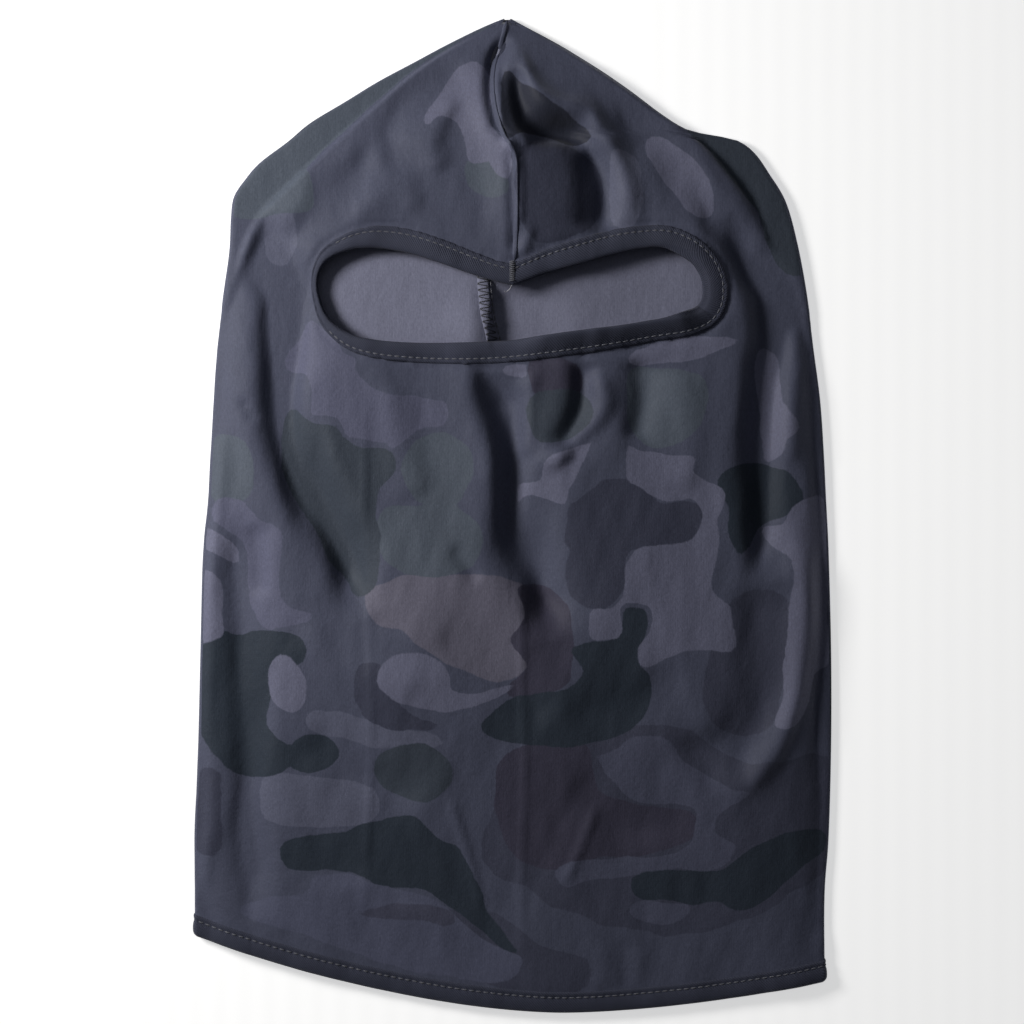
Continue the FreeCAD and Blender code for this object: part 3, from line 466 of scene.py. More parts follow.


# The print's patches, by dye, and patches of painted shade: a darker copy of the ground over the lower right,
# and a near-black painted shadow in the hollow right of the crown seam. A patch listed later is printed over
# the earlier ones.
PRINT_AND_PAINTED_SHADE = {
    # painted shade: a darker copy of the ground colour over the lower right, the bottom middle and the valley
    # by the right edge, where the light falls off
    "painted_shade": [
        [(18, -92), (45, -84), (70, -86), (95, -100), (128, -98), (129, -138), (112, -152), (96, -162),
         (60, -168), (24, -160), (6, -150), (-12, -138), (-6, -114)],
        [(-30, -160), (-8, -160), (10, -172), (30, -178), (26, -192), (-4, -190), (-20, -180)],
        [(84, -40), (96, -30), (112, -36), (110, -60), (104, -84), (88, -88), (76, -74)],
    ],
    "haze": [
        [(-79, -78), (-50, -83), (-30, -88), (-30, -93), (-56, -92), (-80, -86)],
        [(-100, -105), (-78, -104), (-56, -110), (-55, -122), (-76, -125), (-98, -122)],
        [(40, 146), (49, 143), (52, 130), (49, 116), (41, 116), (39, 130)],
        [(-98, 120), (-88, 121), (-86, 110), (-91, 100), (-99, 104)],
    ],
    "taupe": [
        [(-59, -31), (-50, -27), (-43, -24), (-35, -23), (-25, -23.5), (-12, -24), (0, -27), (9, -33),
         (12, -48), (6, -62), (-6, -66), (-20, -62), (-30, -57), (-39, -51), (-45, -46), (-54, -43)],
    ],
    "brown": [
        [(7, 62), (26, 61), (27, 50), (16, 46), (7, 49)],
        [(2, -30), (12, -28), (22, -36), (25, -50), (22, -66), (8, -73), (-3, -71), (5, -60), (-1, -50),
         (5, -40)],
        [(-5, -100), (2, -93), (17, -90), (29, -92), (32, -100), (34, -110), (44, -114), (60, -117),
         (72, -119), (73, -128), (66, -133), (52, -137), (34, -138), (20, -142), (6, -140), (-4, -130),
         (-8, -114)],
    ],
    "violet_and_painted_shade": [
        [(22, 3.5), (27, 6), (32, 10), (36, 14), (41, 15), (46, 14), (51, 11), (56, 7.5), (61, 5), (71, 6),
         (75, 3), (76, -1), (74, -6.5), (71, -11), (60, -12.5), (50, -13.5), (47, -15.5), (45, -20),
         (45, -26), (44, -31), (41, -35), (37, -37.5), (31, -37.5), (27, -35), (23, -32), (21, -26),
         (22, -20), (24, -14), (21, -10), (22, -4)],
        [(-62, -60), (-50, -62), (-44, -76), (-30, -84), (-44, -86), (-60, -80)],
        [(-127, -105), (-118, -104), (-117, -133), (-128, -134)],
        # partly print and partly painted shade: this dark patch right of the crown seam also stands in for the
        # shade of the hollow there
        [(3, 146), (18, 148), (34, 140), (36, 124), (28, 112), (10, 110), (2, 124)],
    ],
    "moss": [
        oval(-30, 18, 14.5, 15),
        [(-52, 2), (-38, 4), (-22, 2), (-12, -6), (-16, -20), (-30, -25), (-44, -23), (-53, -14)],
        [(-120, 30), (-110, 31), (-104, 22), (-105, 8), (-112, 5), (-121, 8)],
        [(-114, 146), (-98, 148), (-84, 140), (-80, 130), (-81, 121.5), (-96, 121), (-114, 121)],
        [(-6, 198), (-27, 189), (-54, 175), (-81, 158.5), (-101, 143), (-113, 130), (-106, 120), (-94, 129),
         (-84, 138.5), (-73, 149), (-61, 160), (-42, 176.5), (-26, 187.5), (-14, 194)],
        [(-18, 141), (-9, 141), (-3, 136), (-1, 130), (-8, 126), (-17, 131)],
        [(46, 58), (60, 59), (74, 56), (78, 46), (74, 35), (64, 27), (52, 28), (47, 38)],
    ],
    "green": [
        [(44, -37), (50, -36), (54, -37.5), (55, -41), (54, -47), (51, -52), (50, -57), (56, -68),
         (52, -82), (36, -90), (14, -92), (-3, -90), (-13, -84), (-3, -74), (10, -71), (22, -70), (27, -64),
         (26, -60), (23, -55), (22, -53.5), (27, -51.5), (32, -50.5), (40, -50), (44, -45)],
        [(-126, -46), (-112, -48), (-100, -46), (-86, -48), (-83, -58), (-96, -70), (-98, -84), (-86, -96),
         (-98, -105), (-116, -100), (-127, -80)],
        oval(-80, -96, 11, 8, 0.1),
        [(-92, -130), (-69, -127), (-55, -122), (-41, -120), (-33, -126), (-29, -130), (-21, -134),
         (-14, -148), (-11, -158), (-4, -168), (3, -176), (-2, -175), (-7, -172), (-14, -166), (-20, -161),
         (-25, -157), (-30, -153), (-36, -150), (-44, -149), (-53, -148), (-59, -145), (-65, -143),
         (-77, -142.5), (-90, -141)],
        [(48, -146), (50, -144), (54, -142.5), (68, -142), (82, -142.5), (90, -137), (97, -132),
         (107, -128), (124, -126), (126, -134), (121, -139), (115, -142), (109, -148), (103, -153),
         (97, -157), (91, -159), (87, -158), (82, -155.5), (73, -156), (61, -154.5), (53, -154),
         (49, -151)],
        [(82, 14), (90, 20), (100, 21), (112, 16), (116, 7), (110, 0), (100, -4), (92, -16), (86, -8),
         (86, 4)],
    ],
    "light": [
        [(-126, -4), (-116, -8), (-110, -14), (-110, -20), (-118, -16), (-126, -12)],
        [(-127, -24), (-118, -26), (-116, -45), (-119, -49), (-127, -50)],
        oval(-90, -67, 7.5, 11.5, 0.25),
        [(-53, -66), (-50, -58), (-44, -55), (-36, -54.5), (-29, -58), (-25, -65), (-24, -70), (-12, -71),
         (-1, -68), (-1, -70), (-9, -74), (-19, -77), (-29, -78), (-38, -77), (-47, -74)],
        [(-3, 59), (2, 60.5), (6, 60), (6.3, 53.5), (1, 55), (-3, 57)],
        [(13, 23), (21, 26.5), (30, 29), (32, 28), (27, 18), (22, 10), (21, 4.5), (15, 6), (7, 7.5), (2, 4),
         (3, 13), (11, 13.5), (12, 18)],
        [(46, 28), (51, 26), (59, 25), (66, 24), (75, 24), (74, 21), (73, 18), (77, 14), (82, 11), (84, 8),
         (84, 4), (82, -2), (83, -10), (81, -20), (80, -30), (86, -36), (87, -40), (89, -50), (87, -54),
         (77, -54), (69, -54.5), (62, -57), (57, -60), (51, -61), (50, -57), (51, -52), (54, -47),
         (55, -41), (54, -37.5), (50, -36), (44, -37), (43, -46), (40, -49), (31, -49), (31, -38),
         (37, -37.5), (41, -35), (44, -31), (45, -26), (45, -20), (47, -15.5), (50, -13.5), (57, -12.5),
         (66, -12), (71, -11), (74, -6.5), (76, -1), (75, 3), (71, 6), (61, 5), (56, 7.5), (51, 11),
         (46, 14), (45, 20)],
        [(46, 62), (49, 65.5), (53, 67), (57, 70), (74, 71), (91, 70), (85, 67), (77, 64), (69, 61.5),
         (61, 60.5), (50, 59.5)],
        [(98, 66), (106, 64), (109, 46), (115, 36), (110, 30), (109, 26), (106, 22), (101, 22), (99, 40)],
        [(100, -5.5), (108, -4), (111, 1), (115, 4.5), (126, 5), (127, -30), (126, -60), (110, -60),
         (111, -34), (112, -18), (104, -12)],
        [(109, -58), (120, -58), (119, -76), (112, -84), (105, -84), (108, -72)],
        [(-35, 159), (-33, 155.5), (-30, 159), (-24, 157), (-20, 151), (-18, 143), (-16, 141), (-12, 141),
         (-9, 142), (-7, 138), (-5, 135), (-1, 134), (-1, 146), (-8, 156), (-9, 174), (-14, 182),
         (-22, 178)],
        [(55, 152), (66, 148), (78, 134), (81, 122), (74, 119), (62, 132), (54, 144)],
        [(-63, -172), (-48, -174), (-33, -170), (-40, -164), (-58, -163), (-68, -166)],
    ],
    "lead": [
        [(-79, -145), (-65, -144), (-53, -149.5), (-36, -152), (-25, -159), (-14, -168), (-4, -174),
         (4, -178), (-2, -187), (-22, -186), (-54, -179), (-84, -168), (-110, -160), (-99, -154),
         (-89, -152), (-81, -150)],
    ],
    "slate": [
        [(34, -97), (37, -95), (42, -92.5), (48, -89), (53, -88), (59, -89), (63, -92), (67, -97),
         (73, -101), (77, -104), (81, -107), (87, -109), (95, -110.5), (93, -114), (87, -117), (82, -120.5),
         (81, -127), (85, -129.5), (89, -131), (90, -134), (87, -139), (82, -142), (73, -142.5), (61, -142),
         (54, -142.5), (49, -144.5), (41, -145.5), (31, -146), (26, -147.5), (21, -149), (18, -146),
         (17, -142), (22, -139.5), (27, -138), (37, -137), (53, -137), (61, -136), (68, -133.5), (72, -130),
         (74, -125), (74, -120), (72, -117.5), (67, -116), (57, -116), (51, -115.5), (47, -113.5),
         (44, -110), (42, -107), (37, -103)],
        [(47, -158), (52, -155), (61, -155), (70, -156.5), (70, -159), (65, -163), (57, -164.5),
         (50, -162.5)],
    ],
    "plum": [
        [(-64, -159), (-57, -157), (-39, -155.5), (-25, -159), (-24, -164), (-34, -163), (-49, -162),
         (-59, -162)],
    ],
    "pine": [
        [(-89, 42), (-80, 37), (-71, 36), (-66, 30), (-58, 27), (-48, 25), (-47, 17), (-53, 10), (-55, 0),
         (-53, -12), (-54, -27), (-62, -33), (-69, -24), (-79, -8), (-88, 8), (-94, 24)],
        [(7, 48), (18, 50), (29, 47), (31, 37), (20, 29), (8, 31)],
        [(-54, -98), (-46, -92), (-36, -91), (-26, -96), (-23, -104), (-28, -112), (-40, -114),
         (-52, -108)],
        [(70, 155), (92, 153), (106, 137), (114, 116), (117, 98), (110, 97), (103, 109), (98, 121),
         (91, 131), (80, 145)],
    ],
    "pale": [
        [(-82, 78), (-86, 70), (-91, 62), (-88, 58.5), (-83, 57), (-80.7, 53), (-80, 46), (-80.5, 41),
         (-78, 39.5), (-70, 39), (-68, 36), (-66, 31.5), (-60, 30), (-51, 29), (-49, 27.5), (-47, 26.3),
         (-44, 28.5), (-40, 32), (-34, 34.5), (-28, 35.5), (-25.7, 38), (-25, 41), (-27, 45), (-33, 46),
         (-44, 47.5), (-50, 48.5), (-56, 51), (-60, 54), (-63, 58), (-63, 62), (-67, 65), (-70, 70),
         (-76, 76)],
        [(-118, 6), (-109, 6), (-105, 3), (-100, -1.5), (-96, -3.5), (-92.7, -7), (-92, -11), (-93, -20),
         (-93, -29), (-91.7, -34), (-87, -37), (-80, -39.5), (-82, -43), (-86, -44), (-93, -45.5),
         (-98, -46), (-102, -43), (-104, -39), (-105.7, -34), (-107, -15), (-112, -8), (-120, -2)],
    ],
    # painted shadow: a near-black patch in the hollow right of the crown seam, where the seam's ridge shades
    # the cloth; it is not part of the print
    "painted_shadow": [
        [(-3, 177), (4, 173), (13, 166), (23, 160), (31, 152), (24, 148), (14, 151), (4, 152), (-2, 149),
         (-5, 160)],
    ],
}


# The back carries the same print and painted shade, turned over, a little shorter and lower.
BACK_TURNED_AT, BACK_SHORTER, BACK_LOWER = 14, 0.94, 12
PRINT_REACH, FAR_AWAY = 6, 9.0


def print_and_shade_marks(x, y, back):
    """For every dye and every painted shade, how far each point is outside its patches, in mm."""
    px = np.where(back, BACK_TURNED_AT - x, x)
    py = np.where(back, y * BACK_SHORTER - BACK_LOWER, y)
    marks = {}
    for dye, patches in PRINT_AND_PAINTED_SHADE.items():
        apart = np.full(x.shape, FAR_AWAY)
        for patch in patches:
            line = smooth_line(patch, 3, closed=True)
            low, high = line.min(0) - PRINT_REACH, line.max(0) + PRINT_REACH
            near = (px > low[0]) & (px < high[0]) & (py > low[1]) & (py < high[1])
            far, _, _, inside = measure_to(line, px[near], py[near], closed=True)
            apart[near] = np.minimum(apart[near], np.where(inside, -far, far))
        marks[dye] = apart
    return marks


def grid_quads(rows, columns, loop=False):
    """Quads between neighbouring rows and columns, and each corner's place on the unrolled grid."""
    r, c = np.meshgrid(np.arange(rows - 1), np.arange(columns if loop else columns - 1), indexing="ij")
    corners = [(r, c), (r, c + 1), (r + 1, c + 1), (r + 1, c)]
    quads = np.stack([a * columns + b % columns for a, b in corners], -1).reshape(-1, 4)
    unrolled = np.stack([a * (columns + 1) + b for a, b in corners], -1).reshape(-1, 4)
    return quads, unrolled


def cloth_mesh(name, points, quads, flat, unrolled, finishes):
    """A smooth-shaded mesh in metres, with its flat lengths in metres as UVs."""
    mesh = bpy.data.meshes.new(name)
    mesh.from_pydata((np.asarray(points) * MM).tolist(), [], quads.tolist())
    uv = mesh.uv_layers.new(name="flat")
    uv.data.foreach_set("uv", (flat[unrolled.ravel()] * MM).ravel().astype(np.float32))
    for finish in finishes:
        mesh.materials.append(finish.material)
    mesh.polygons.foreach_set("use_smooth", [True] * len(mesh.polygons))
    piece = bpy.data.objects.new(name, mesh)
    scene.collection.objects.link(piece)
    return piece


def add_marks(piece, marks):
    for dye, apart in marks.items():
        attribute = piece.data.attributes.new("print_" + dye, "FLOAT", "POINT")
        attribute.data.foreach_set("value", apart.astype(np.float32))


# Tones of the print's dyes, and of the painted shade and painted shadow.
DYE_AND_SHADE_TONES = {
    # painted shade: the ground colour made darker, for where the light falls off
    "painted_shade": (0.042, 0.045, 0.071, 1),
    "haze": (0.078, 0.083, 0.124, 1),
    "taupe": (0.096, 0.092, 0.127, 1),
    "brown": (0.037, 0.035, 0.057, 1),
    # print, and also painted shade in the hollow right of the crown seam
    "violet_and_painted_shade": (0.036, 0.039, 0.063, 1),
    "moss": (0.062, 0.074, 0.098, 1),
    "green": (0.020, 0.027, 0.040, 1),
    "light": (0.100, 0.103, 0.153, 1),
    "lead": (0.066, 0.071, 0.112, 1),
    "slate": (0.060, 0.064, 0.100, 1),
    "plum": (0.049, 0.051, 0.080, 1),
    "pine": (0.034, 0.042, 0.058, 1),
    "pale": (0.076, 0.079, 0.124, 1),
    # painted shadow, near black, for the hollow right of the crown seam
    "painted_shadow": (0.018, 0.020, 0.032, 1),
}
GROUND = (0.055, 0.060, 0.093, 1)
LINING = (0.141, 0.145, 0.203, 1)


RIBS_PER_METRE, COURSES_PER_METRE = 330.0, 420.0
YARN_SHADE, WORN_SHADE, BASE_SHADE, SPECK_SHADE = 1.3, 0.34, 0.68, 0.10
PRINT_WANDER, EDGE_FUZZ, EDGE_SHARP = 4.6, 0.9, 1.9


def knit_grain(cloth):
    """Fine loops in upright ribs, with uneven yarn."""
    flat = cloth.add("UVMap", {}, uv_map="flat").outputs[0]
    streaks = cloth.noise(cloth.stretched(flat, (1500, 700, 1)), 1.0, 4.0, 0.75)
    ribs = cloth.add("TexWave", {"Vector": flat, "Scale": RIBS_PER_METRE, "Distortion": 1.4, "Detail": 1.0,
                                 "Detail Scale": 3.0}, bands_direction="X").outputs[1]
    courses = cloth.add("TexWave", {"Vector": flat, "Scale": COURSES_PER_METRE, "Distortion": 1.2,
                                    "Detail": 1.0, "Detail Scale": 3.0}, bands_direction="Y").outputs[1]
    loops = cloth.math("ADD", cloth.math("MULTIPLY", ribs, 0.25), cloth.math("MULTIPLY", courses, 0.2))
    grain = cloth.math("ADD", cloth.math("MULTIPLY", streaks, 0.7), cloth.math("MULTIPLY", loops, 0.5))
    return streaks, grain, flat


def finish_knit(cloth, colour, rough):
    streaks, grain, flat = knit_grain(cloth)
    worn = cloth.noise(cloth.stretched(flat, (46, 30, 1)), 1.0, 4.0, 0.6)
    worn_away = cloth.math("MULTIPLY", worn, WORN_SHADE)
    tint = cloth.math("ADD", cloth.math("MULTIPLY", streaks, YARN_SHADE), worn_away)
    tint = cloth.math("ADD", tint, BASE_SHADE)
    pale_fibre = cloth.math("GREATER_THAN", cloth.noise(flat, 900.0, 0.0), 0.78)
    speck = cloth.math("MULTIPLY", pale_fibre, SPECK_SHADE)
    tint = cloth.math("ADD", tint, speck)
    shade = cloth.add("CombineColor", {0: tint, 1: tint, 2: tint}).outputs[0]
    cloth.put(cloth.mix(1.0, colour, shade, "MULTIPLY"), cloth.shader.inputs["Base Color"])
    cloth.shader.inputs["Roughness"].default_value = rough
    cloth.shader.inputs["Specular IOR Level"].default_value = 0.22
    cloth.shader.inputs["Sheen Weight"].default_value = 0.12
    cloth.shader.inputs["Sheen Roughness"].default_value = 0.45
    fine = cloth.bump(grain, 0.3, 0.00022)
    ripple = cloth.noise(cloth.stretched(flat, (150, 90, 1)), 1.0, 4.0, 0.6)
    cloth.put(cloth.bump(ripple, 0.30, 0.0016, fine), cloth.shader.inputs["Normal"])


def printed_knit():
    cloth = Finish("printed_knit")
    flat = cloth.add("UVMap", {}, uv_map="flat").outputs[0]
    uneven = cloth.math("MULTIPLY", cloth.math("SUBTRACT", cloth.noise(flat, 420.0, 2.0), 0.5), EDGE_FUZZ)
    loose = cloth.math("MULTIPLY", cloth.math("SUBTRACT", cloth.noise(flat, 62.0, 1.0), 0.5), PRINT_WANDER)
    wobble = cloth.math("ADD", uneven, loose)
    colour = GROUND
    # Each patch is laid over the ground in turn, the print's dyes and the painted shade and painted shadow
    # alike.
    for dye, tone in DYE_AND_SHADE_TONES.items():
        apart = cloth.add("Attribute", {}, attribute_name="print_" + dye).outputs["Fac"]
        apart = cloth.math("ADD", apart, wobble)
        inside = cloth.math("SUBTRACT", 0.5, cloth.math("MULTIPLY", apart, EDGE_SHARP), clamp=True)
        colour = cloth.mix(inside, colour, tone)
    finish_knit(cloth, colour, 0.62)
    return cloth


def plain_knit():
    cloth = Finish("plain_knit_inside")
    finish_knit(cloth, LINING, 0.72)
    return cloth


outside_knit, inside_knit = printed_knit(), plain_knit()

ROW_HEIGHTS = np.concatenate([np.linspace(-198, 58, 134, endpoint=False), np.linspace(58, 199.4, 96)])
FRONT_COLUMNS, TURN_COLUMNS, BACK_COLUMNS = 152, 5, 44
HALF_BLANK, WHOLE_TURN = 128, 384
ABOVE_HEM = 40


def knit_hood():
    """The whole hood as one tube of cloth, with the eye opening cut out of its front."""
    around = np.concatenate([np.linspace(0, FRONT_END, FRONT_COLUMNS),
                             np.linspace(FRONT_END, RIGHT_TURN_END, TURN_COLUMNS)[1:-1],
                             np.linspace(RIGHT_TURN_END, BACK_END, BACK_COLUMNS),
                             np.linspace(BACK_END, ALL_ROUND, TURN_COLUMNS)[1:-1]])
    points = hood_surface(around[None, :], ROW_HEIGHTS[:, None])
    rows, columns = points.shape[:2]
    quads, unrolled = grid_quads(rows, columns, loop=True)
    lengths = np.where(around <= FRONT_END, HALF_BLANK + points[..., 0], WHOLE_TURN - points[..., 0])
    lengths = np.concatenate([lengths, lengths[:, -1:] + 1.0], 1)
    flat = np.dstack([lengths, np.broadcast_to(ROW_HEIGHTS[:, None], lengths.shape)]).reshape(-1, 2)
    points = points.reshape(-1, 3)
    on_front = np.tile(around <= FRONT_END, rows)
    _, _, _, in_hole = measure_to(eye_cut, points[:, 0], points[:, 1], closed=True)
    in_hole &= on_front
    cut = in_hole[quads].sum(1) >= 3
    quads, unrolled = quads[~cut], unrolled[~cut]
    used = np.zeros(len(points), bool)
    used[quads.ravel()] = True
    edges = np.sort(np.concatenate([quads[:, [k, (k + 1) % 4]] for k in range(4)]), 1)
    lines, times = np.unique(edges, axis=0, return_counts=True)
    rim = np.unique(lines[times == 1])
    rim = rim[on_front[rim] & (points[rim, 1] > ABOVE_HEM)]
    fine_cut = smooth_line(eye_cut[::2], 8)
    for index in rim:
        gaps = np.hypot(fine_cut[:, 0] - points[index, 0], fine_cut[:, 1] - points[index, 1])
        points[index, :2] = fine_cut[gaps.argmin()]
    points[rim, 2] = lie(points[rim, 0], points[rim, 1])
    marks = print_and_shade_marks(points[:, 0], points[:, 1], ~on_front)
    renumber = np.cumsum(used) - 1
    both_knits = [outside_knit, inside_knit]
    piece = cloth_mesh("knit_hood", points[used], renumber[quads], flat, unrolled, both_knits)
    add_marks(piece, {dye: apart[used] for dye, apart in marks.items()})
    thick = piece.modifiers.new("cloth_thickness", "SOLIDIFY")
    thick.thickness = CLOTH * MM
    thick.offset = 0.0
    thick.material_offset = 1
    return piece


hood = knit_hood()
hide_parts("hood_shell")
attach(hood, "root")

# ---------------------------------------------------------------- eye tape
# A black ribbed knit tape, folded in two round the raw edge of the eye opening and stitched through.
# It is about 8 mm wide where it lies flat, and turns in on itself to a narrow roll at the left end.
ACROSS = np.array([0.0, 0.03, 0.10, 0.19, 0.27, 0.35, 0.48, 0.62, 0.76, 0.88, 0.96, 1.0])
TOP_FACE = np.array([0.34, 0.66, 0.84, 0.78, 0.62, 0.78, 1.02, 1.14, 1.14, 1.02, 0.76, 0.46])
UNDER_FACE = np.array([0.34, 0.62, 0.76, 0.74, 0.64, 0.74, 0.86, 0.90, 0.90, 0.84, 0.64, 0.42])
STITCH_PITCH = 2.9
STITCH_AT = 0.27


TAPE_BLACK = (0.054, 0.059, 0.092, 1)
TAPE_RIBS, RIB_SLANT = 400.0, 0.82
PUCKER_DEEP, PUCKER_WIDE, FOLD_ROUND = 0.16, 0.13, 0.34


def ribbed_tape():
    tape = Finish("black_ribbed_tape")
    flat = tape.add("UVMap", {}, uv_map="flat").outputs[0]
    turned = tape.add("Mapping", {"Vector": flat, "Rotation": (0, 0, RIB_SLANT)}).outputs[0]
    ribs = tape.add("TexWave", {"Vector": turned, "Scale": TAPE_RIBS, "Distortion": 0.9, "Detail": 1.0,
                                "Detail Scale": 2.0}, bands_direction="X", wave_profile="SIN").outputs[1]
    fuzz = tape.noise(flat, 1500.0, 3.0, 0.65)
    worn = tape.noise(flat, 70.0, 3.0, 0.6)
    tint = tape.math("ADD", tape.math("MULTIPLY", ribs, 0.42), tape.math("MULTIPLY", fuzz, 0.5))
    tint = tape.math("ADD", tape.math("ADD", tint, tape.math("MULTIPLY", worn, 0.4)), 0.3)
    shade = tape.add("CombineColor", {0: tint, 1: tint, 2: tint}).outputs[0]
    tape.put(tape.mix(1.0, TAPE_BLACK, shade, "MULTIPLY"), tape.shader.inputs["Base Color"])
    tape.shader.inputs["Roughness"].default_value = 0.7
    tape.shader.inputs["Specular IOR Level"].default_value = 0.2
    tape.shader.inputs["Sheen Weight"].default_value = 0.06
    rough = tape.bump(fuzz, 0.25, 0.0002)
    tape.put(tape.bump(ribs, 0.5, 0.0003, rough), tape.shader.inputs["Normal"])
    return tape


tape_finish = ribbed_tape()


def unit(vectors):
    return vectors / np.maximum(np.linalg.norm(vectors, axis=-1, keepdims=True), 1e-9)


def gone_along(line):
    """Length of a line up to each of its points."""
    return np.concatenate([[0], np.cumsum(np.linalg.norm(np.diff(line, axis=0), axis=1))])


def folded_tape(name, middle, facing, thickness, lean, joined):
    """Tape wrapped round an edge: middle is the cloth inside it, one row of points per place along it."""
    along = gone_along(middle[:, 3])
    pucker = 0.5 + 0.5 * np.cos(2 * math.pi * along / STITCH_PITCH)
    near_stitch = np.exp(-((ACROSS - STITCH_AT) / PUCKER_WIDE) ** 2)
    dip = PUCKER_DEEP * pucker[:, None] * near_stitch[None, :]
    top = (TOP_FACE[None, :] - dip) * thickness[:, None]
    under = (UNDER_FACE[None, :] - dip) * thickness[:, None]
    outward = unit(middle[:, -1] - middle[:, -4])
    upper = middle + facing * top[..., None]
    leaning = outward[:, None] * (lean[:, None] * ACROSS[None, :] ** 2)[..., None]
    lower = middle - facing * under[..., None] + leaning
    fold = 0.5 * (upper[:, -1:] + lower[:, -1:]) + outward[:, None] * FOLD_ROUND
    rings = np.concatenate([upper, fold, lower[:, ::-1]], 1)
    rows, columns = rings.shape[:2]
    quads, unrolled = grid_quads(rows, columns, loop=True)
    widths = np.append(gone_along(rings[0]), gone_along(rings[0])[-1] + 1.0)
    flat = np.stack(np.meshgrid(widths, along), -1).reshape(-1, 2)
    piece = cloth_mesh(name, rings.reshape(-1, 3), quads, flat, unrolled, [tape_finish])
    if joined:
        weld = piece.modifiers.new("joined_ends", "WELD")
        weld.merge_threshold = 0.00005
    return piece, upper, lower


def even_spacing(line, other, step):
    """Both edges of a tape, at an even spacing along the middle of the two."""
    gone = gone_along(0.5 * (line + other))
    places = np.linspace(0, gone[-1], int(gone[-1] / step))
    return [np.stack([np.interp(places, gone, edge[:, k]) for k in (0, 1)], -1) for edge in (line, other)]


TAPE_STEP, LOWER_STANDS = 0.58, 5.2

tape_fold, tape_sewn = even_spacing(eye_fold, eye_sewn, TAPE_STEP)
tape_plan = tape_sewn[:, None] * (1 - ACROSS[None, :, None]) + tape_fold[:, None] * ACROSS[None, :, None]
tape_middle = np.dstack([tape_plan, lie(tape_plan[..., 0], tape_plan[..., 1])])
stands_up = ease((tape_fold[:, 0] + 2) / 16) * ease((78 - tape_fold[:, 0]) / 12) * (tape_fold[:, 1] < 82)
tape_middle[..., 2] += LOWER_STANDS * stands_up[:, None] * ACROSS[None, :]
tape_wide = np.linalg.norm(tape_fold - tape_sewn, axis=1)
upright = np.zeros(tape_middle.shape)
upright[..., 2] = 1.0
right_end = ease((tape_fold[:, 0] - 56) / 16)
left_end = ease((5.5 - tape_wide) / 3)
eye_tape, eye_top, eye_under = folded_tape(
    "eye_tape", tape_middle, upright, 1.0 + 0.25 * left_end, 0.4 + 2.0 * right_end, joined=False)
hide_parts("eye_binding")
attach(eye_tape, "root")

# ---------------------------------------------------------------- hem tape
# The same tape, folded round the neck edge and stitched through the cloth all the way round.
# Its fold is the lowest line of the hood, a slow curve that is lowest a little right of the middle.
HEM_SEWN, HEM_FOLD = -191.4, -199.6
HEM_THICKNESS = 0.92


def along_hem(places, across):
    """Points of the cloth under the hem tape, and the way that each faces."""
    heights = HEM_SEWN + (HEM_FOLD - HEM_SEWN) * np.asarray(across)[None, :]
    around = np.asarray(places)[:, None]
    points = hood_surface(around, heights)
    sideways = hood_surface(around + 0.006, heights) - hood_surface(around - 0.006, heights)
    upward = hood_surface(around, heights + 0.8) - hood_surface(around, heights - 0.8)
    return points, unit(np.cross(sideways, upward))


hem_places = np.concatenate([np.linspace(0, FRONT_END, 440, endpoint=False),
                             np.linspace(FRONT_END, RIGHT_TURN_END, 14, endpoint=False),
                             np.linspace(RIGHT_TURN_END, BACK_END, 440, endpoint=False),
                             np.linspace(BACK_END, ALL_ROUND, 15)])
hem_middle, hem_facing = along_hem(hem_places, ACROSS)
hem_thick, no_lean = np.full(len(hem_places), HEM_THICKNESS), np.zeros(len(hem_places))
hem_tape, hem_top, hem_under = folded_tape("hem_tape", hem_middle, hem_facing, hem_thick, no_lean, joined=True)
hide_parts("hem_binding")
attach(hem_tape, "root")

# ---------------------------------------------------------------- stitching of both tapes
# Lockstitch in dark grey spun thread. The needle thread shows on the outer face of the tape and the
# looper thread on its inner face, one stitch about every 3 mm, each pulled into the tape at its ends.
STITCH_LENGTH = 2.1
FIRST_STITCH, LAST_GAP = 0.6, 0.4
TUBE_FLAT_STEP = 0.3
STITCH_STATIONS = np.array([0.0, 0.07, 0.24, 0.5, 0.76, 0.93, 1.0])
STITCH_RISE = np.array([-0.34, -0.06, 0.08, 0.13, 0.08, -0.06, -0.34])
STITCH_GIRTH = np.array([0.55, 0.85, 1.0, 1.0, 1.0, 0.85, 0.55])


def spun_thread(name, colour):
    thread = Finish(name)
    flat = thread.add("UVMap", {}, uv_map="flat").outputs[0]
    turned = thread.add("Mapping", {"Vector": flat, "Rotation": (0, 0, 0.6)}).outputs[0]
    twist = thread.add("TexWave", {"Vector": turned, "Scale": 700.0, "Distortion": 0.4}).outputs[1]
    fuzz = thread.noise(flat, 2500.0, 2.0)
    tint = thread.math("ADD", thread.math("MULTIPLY", twist, 0.5), thread.math("MULTIPLY", fuzz, 0.5))
    tint = thread.math("ADD", tint, 0.95)
    shade = thread.add("CombineColor", {0: tint, 1: tint, 2: tint}).outputs[0]
    thread.put(thread.mix(1.0, colour, shade, "MULTIPLY"), thread.shader.inputs["Base Color"])
    thread.shader.inputs["Roughness"].default_value = 0.6
    thread.shader.inputs["Sheen Weight"].default_value = 0.1
    thread.put(thread.bump(twist, 0.5, 0.00012), thread.shader.inputs["Normal"])
    return thread


grey_thread = spun_thread("grey_thread", (0.095, 0.097, 0.116, 1))
dark_thread = spun_thread("dark_thread", (0.045, 0.046, 0.058, 1))
pale_thread = spun_thread("pale_thread", (0.34, 0.34, 0.37, 1))


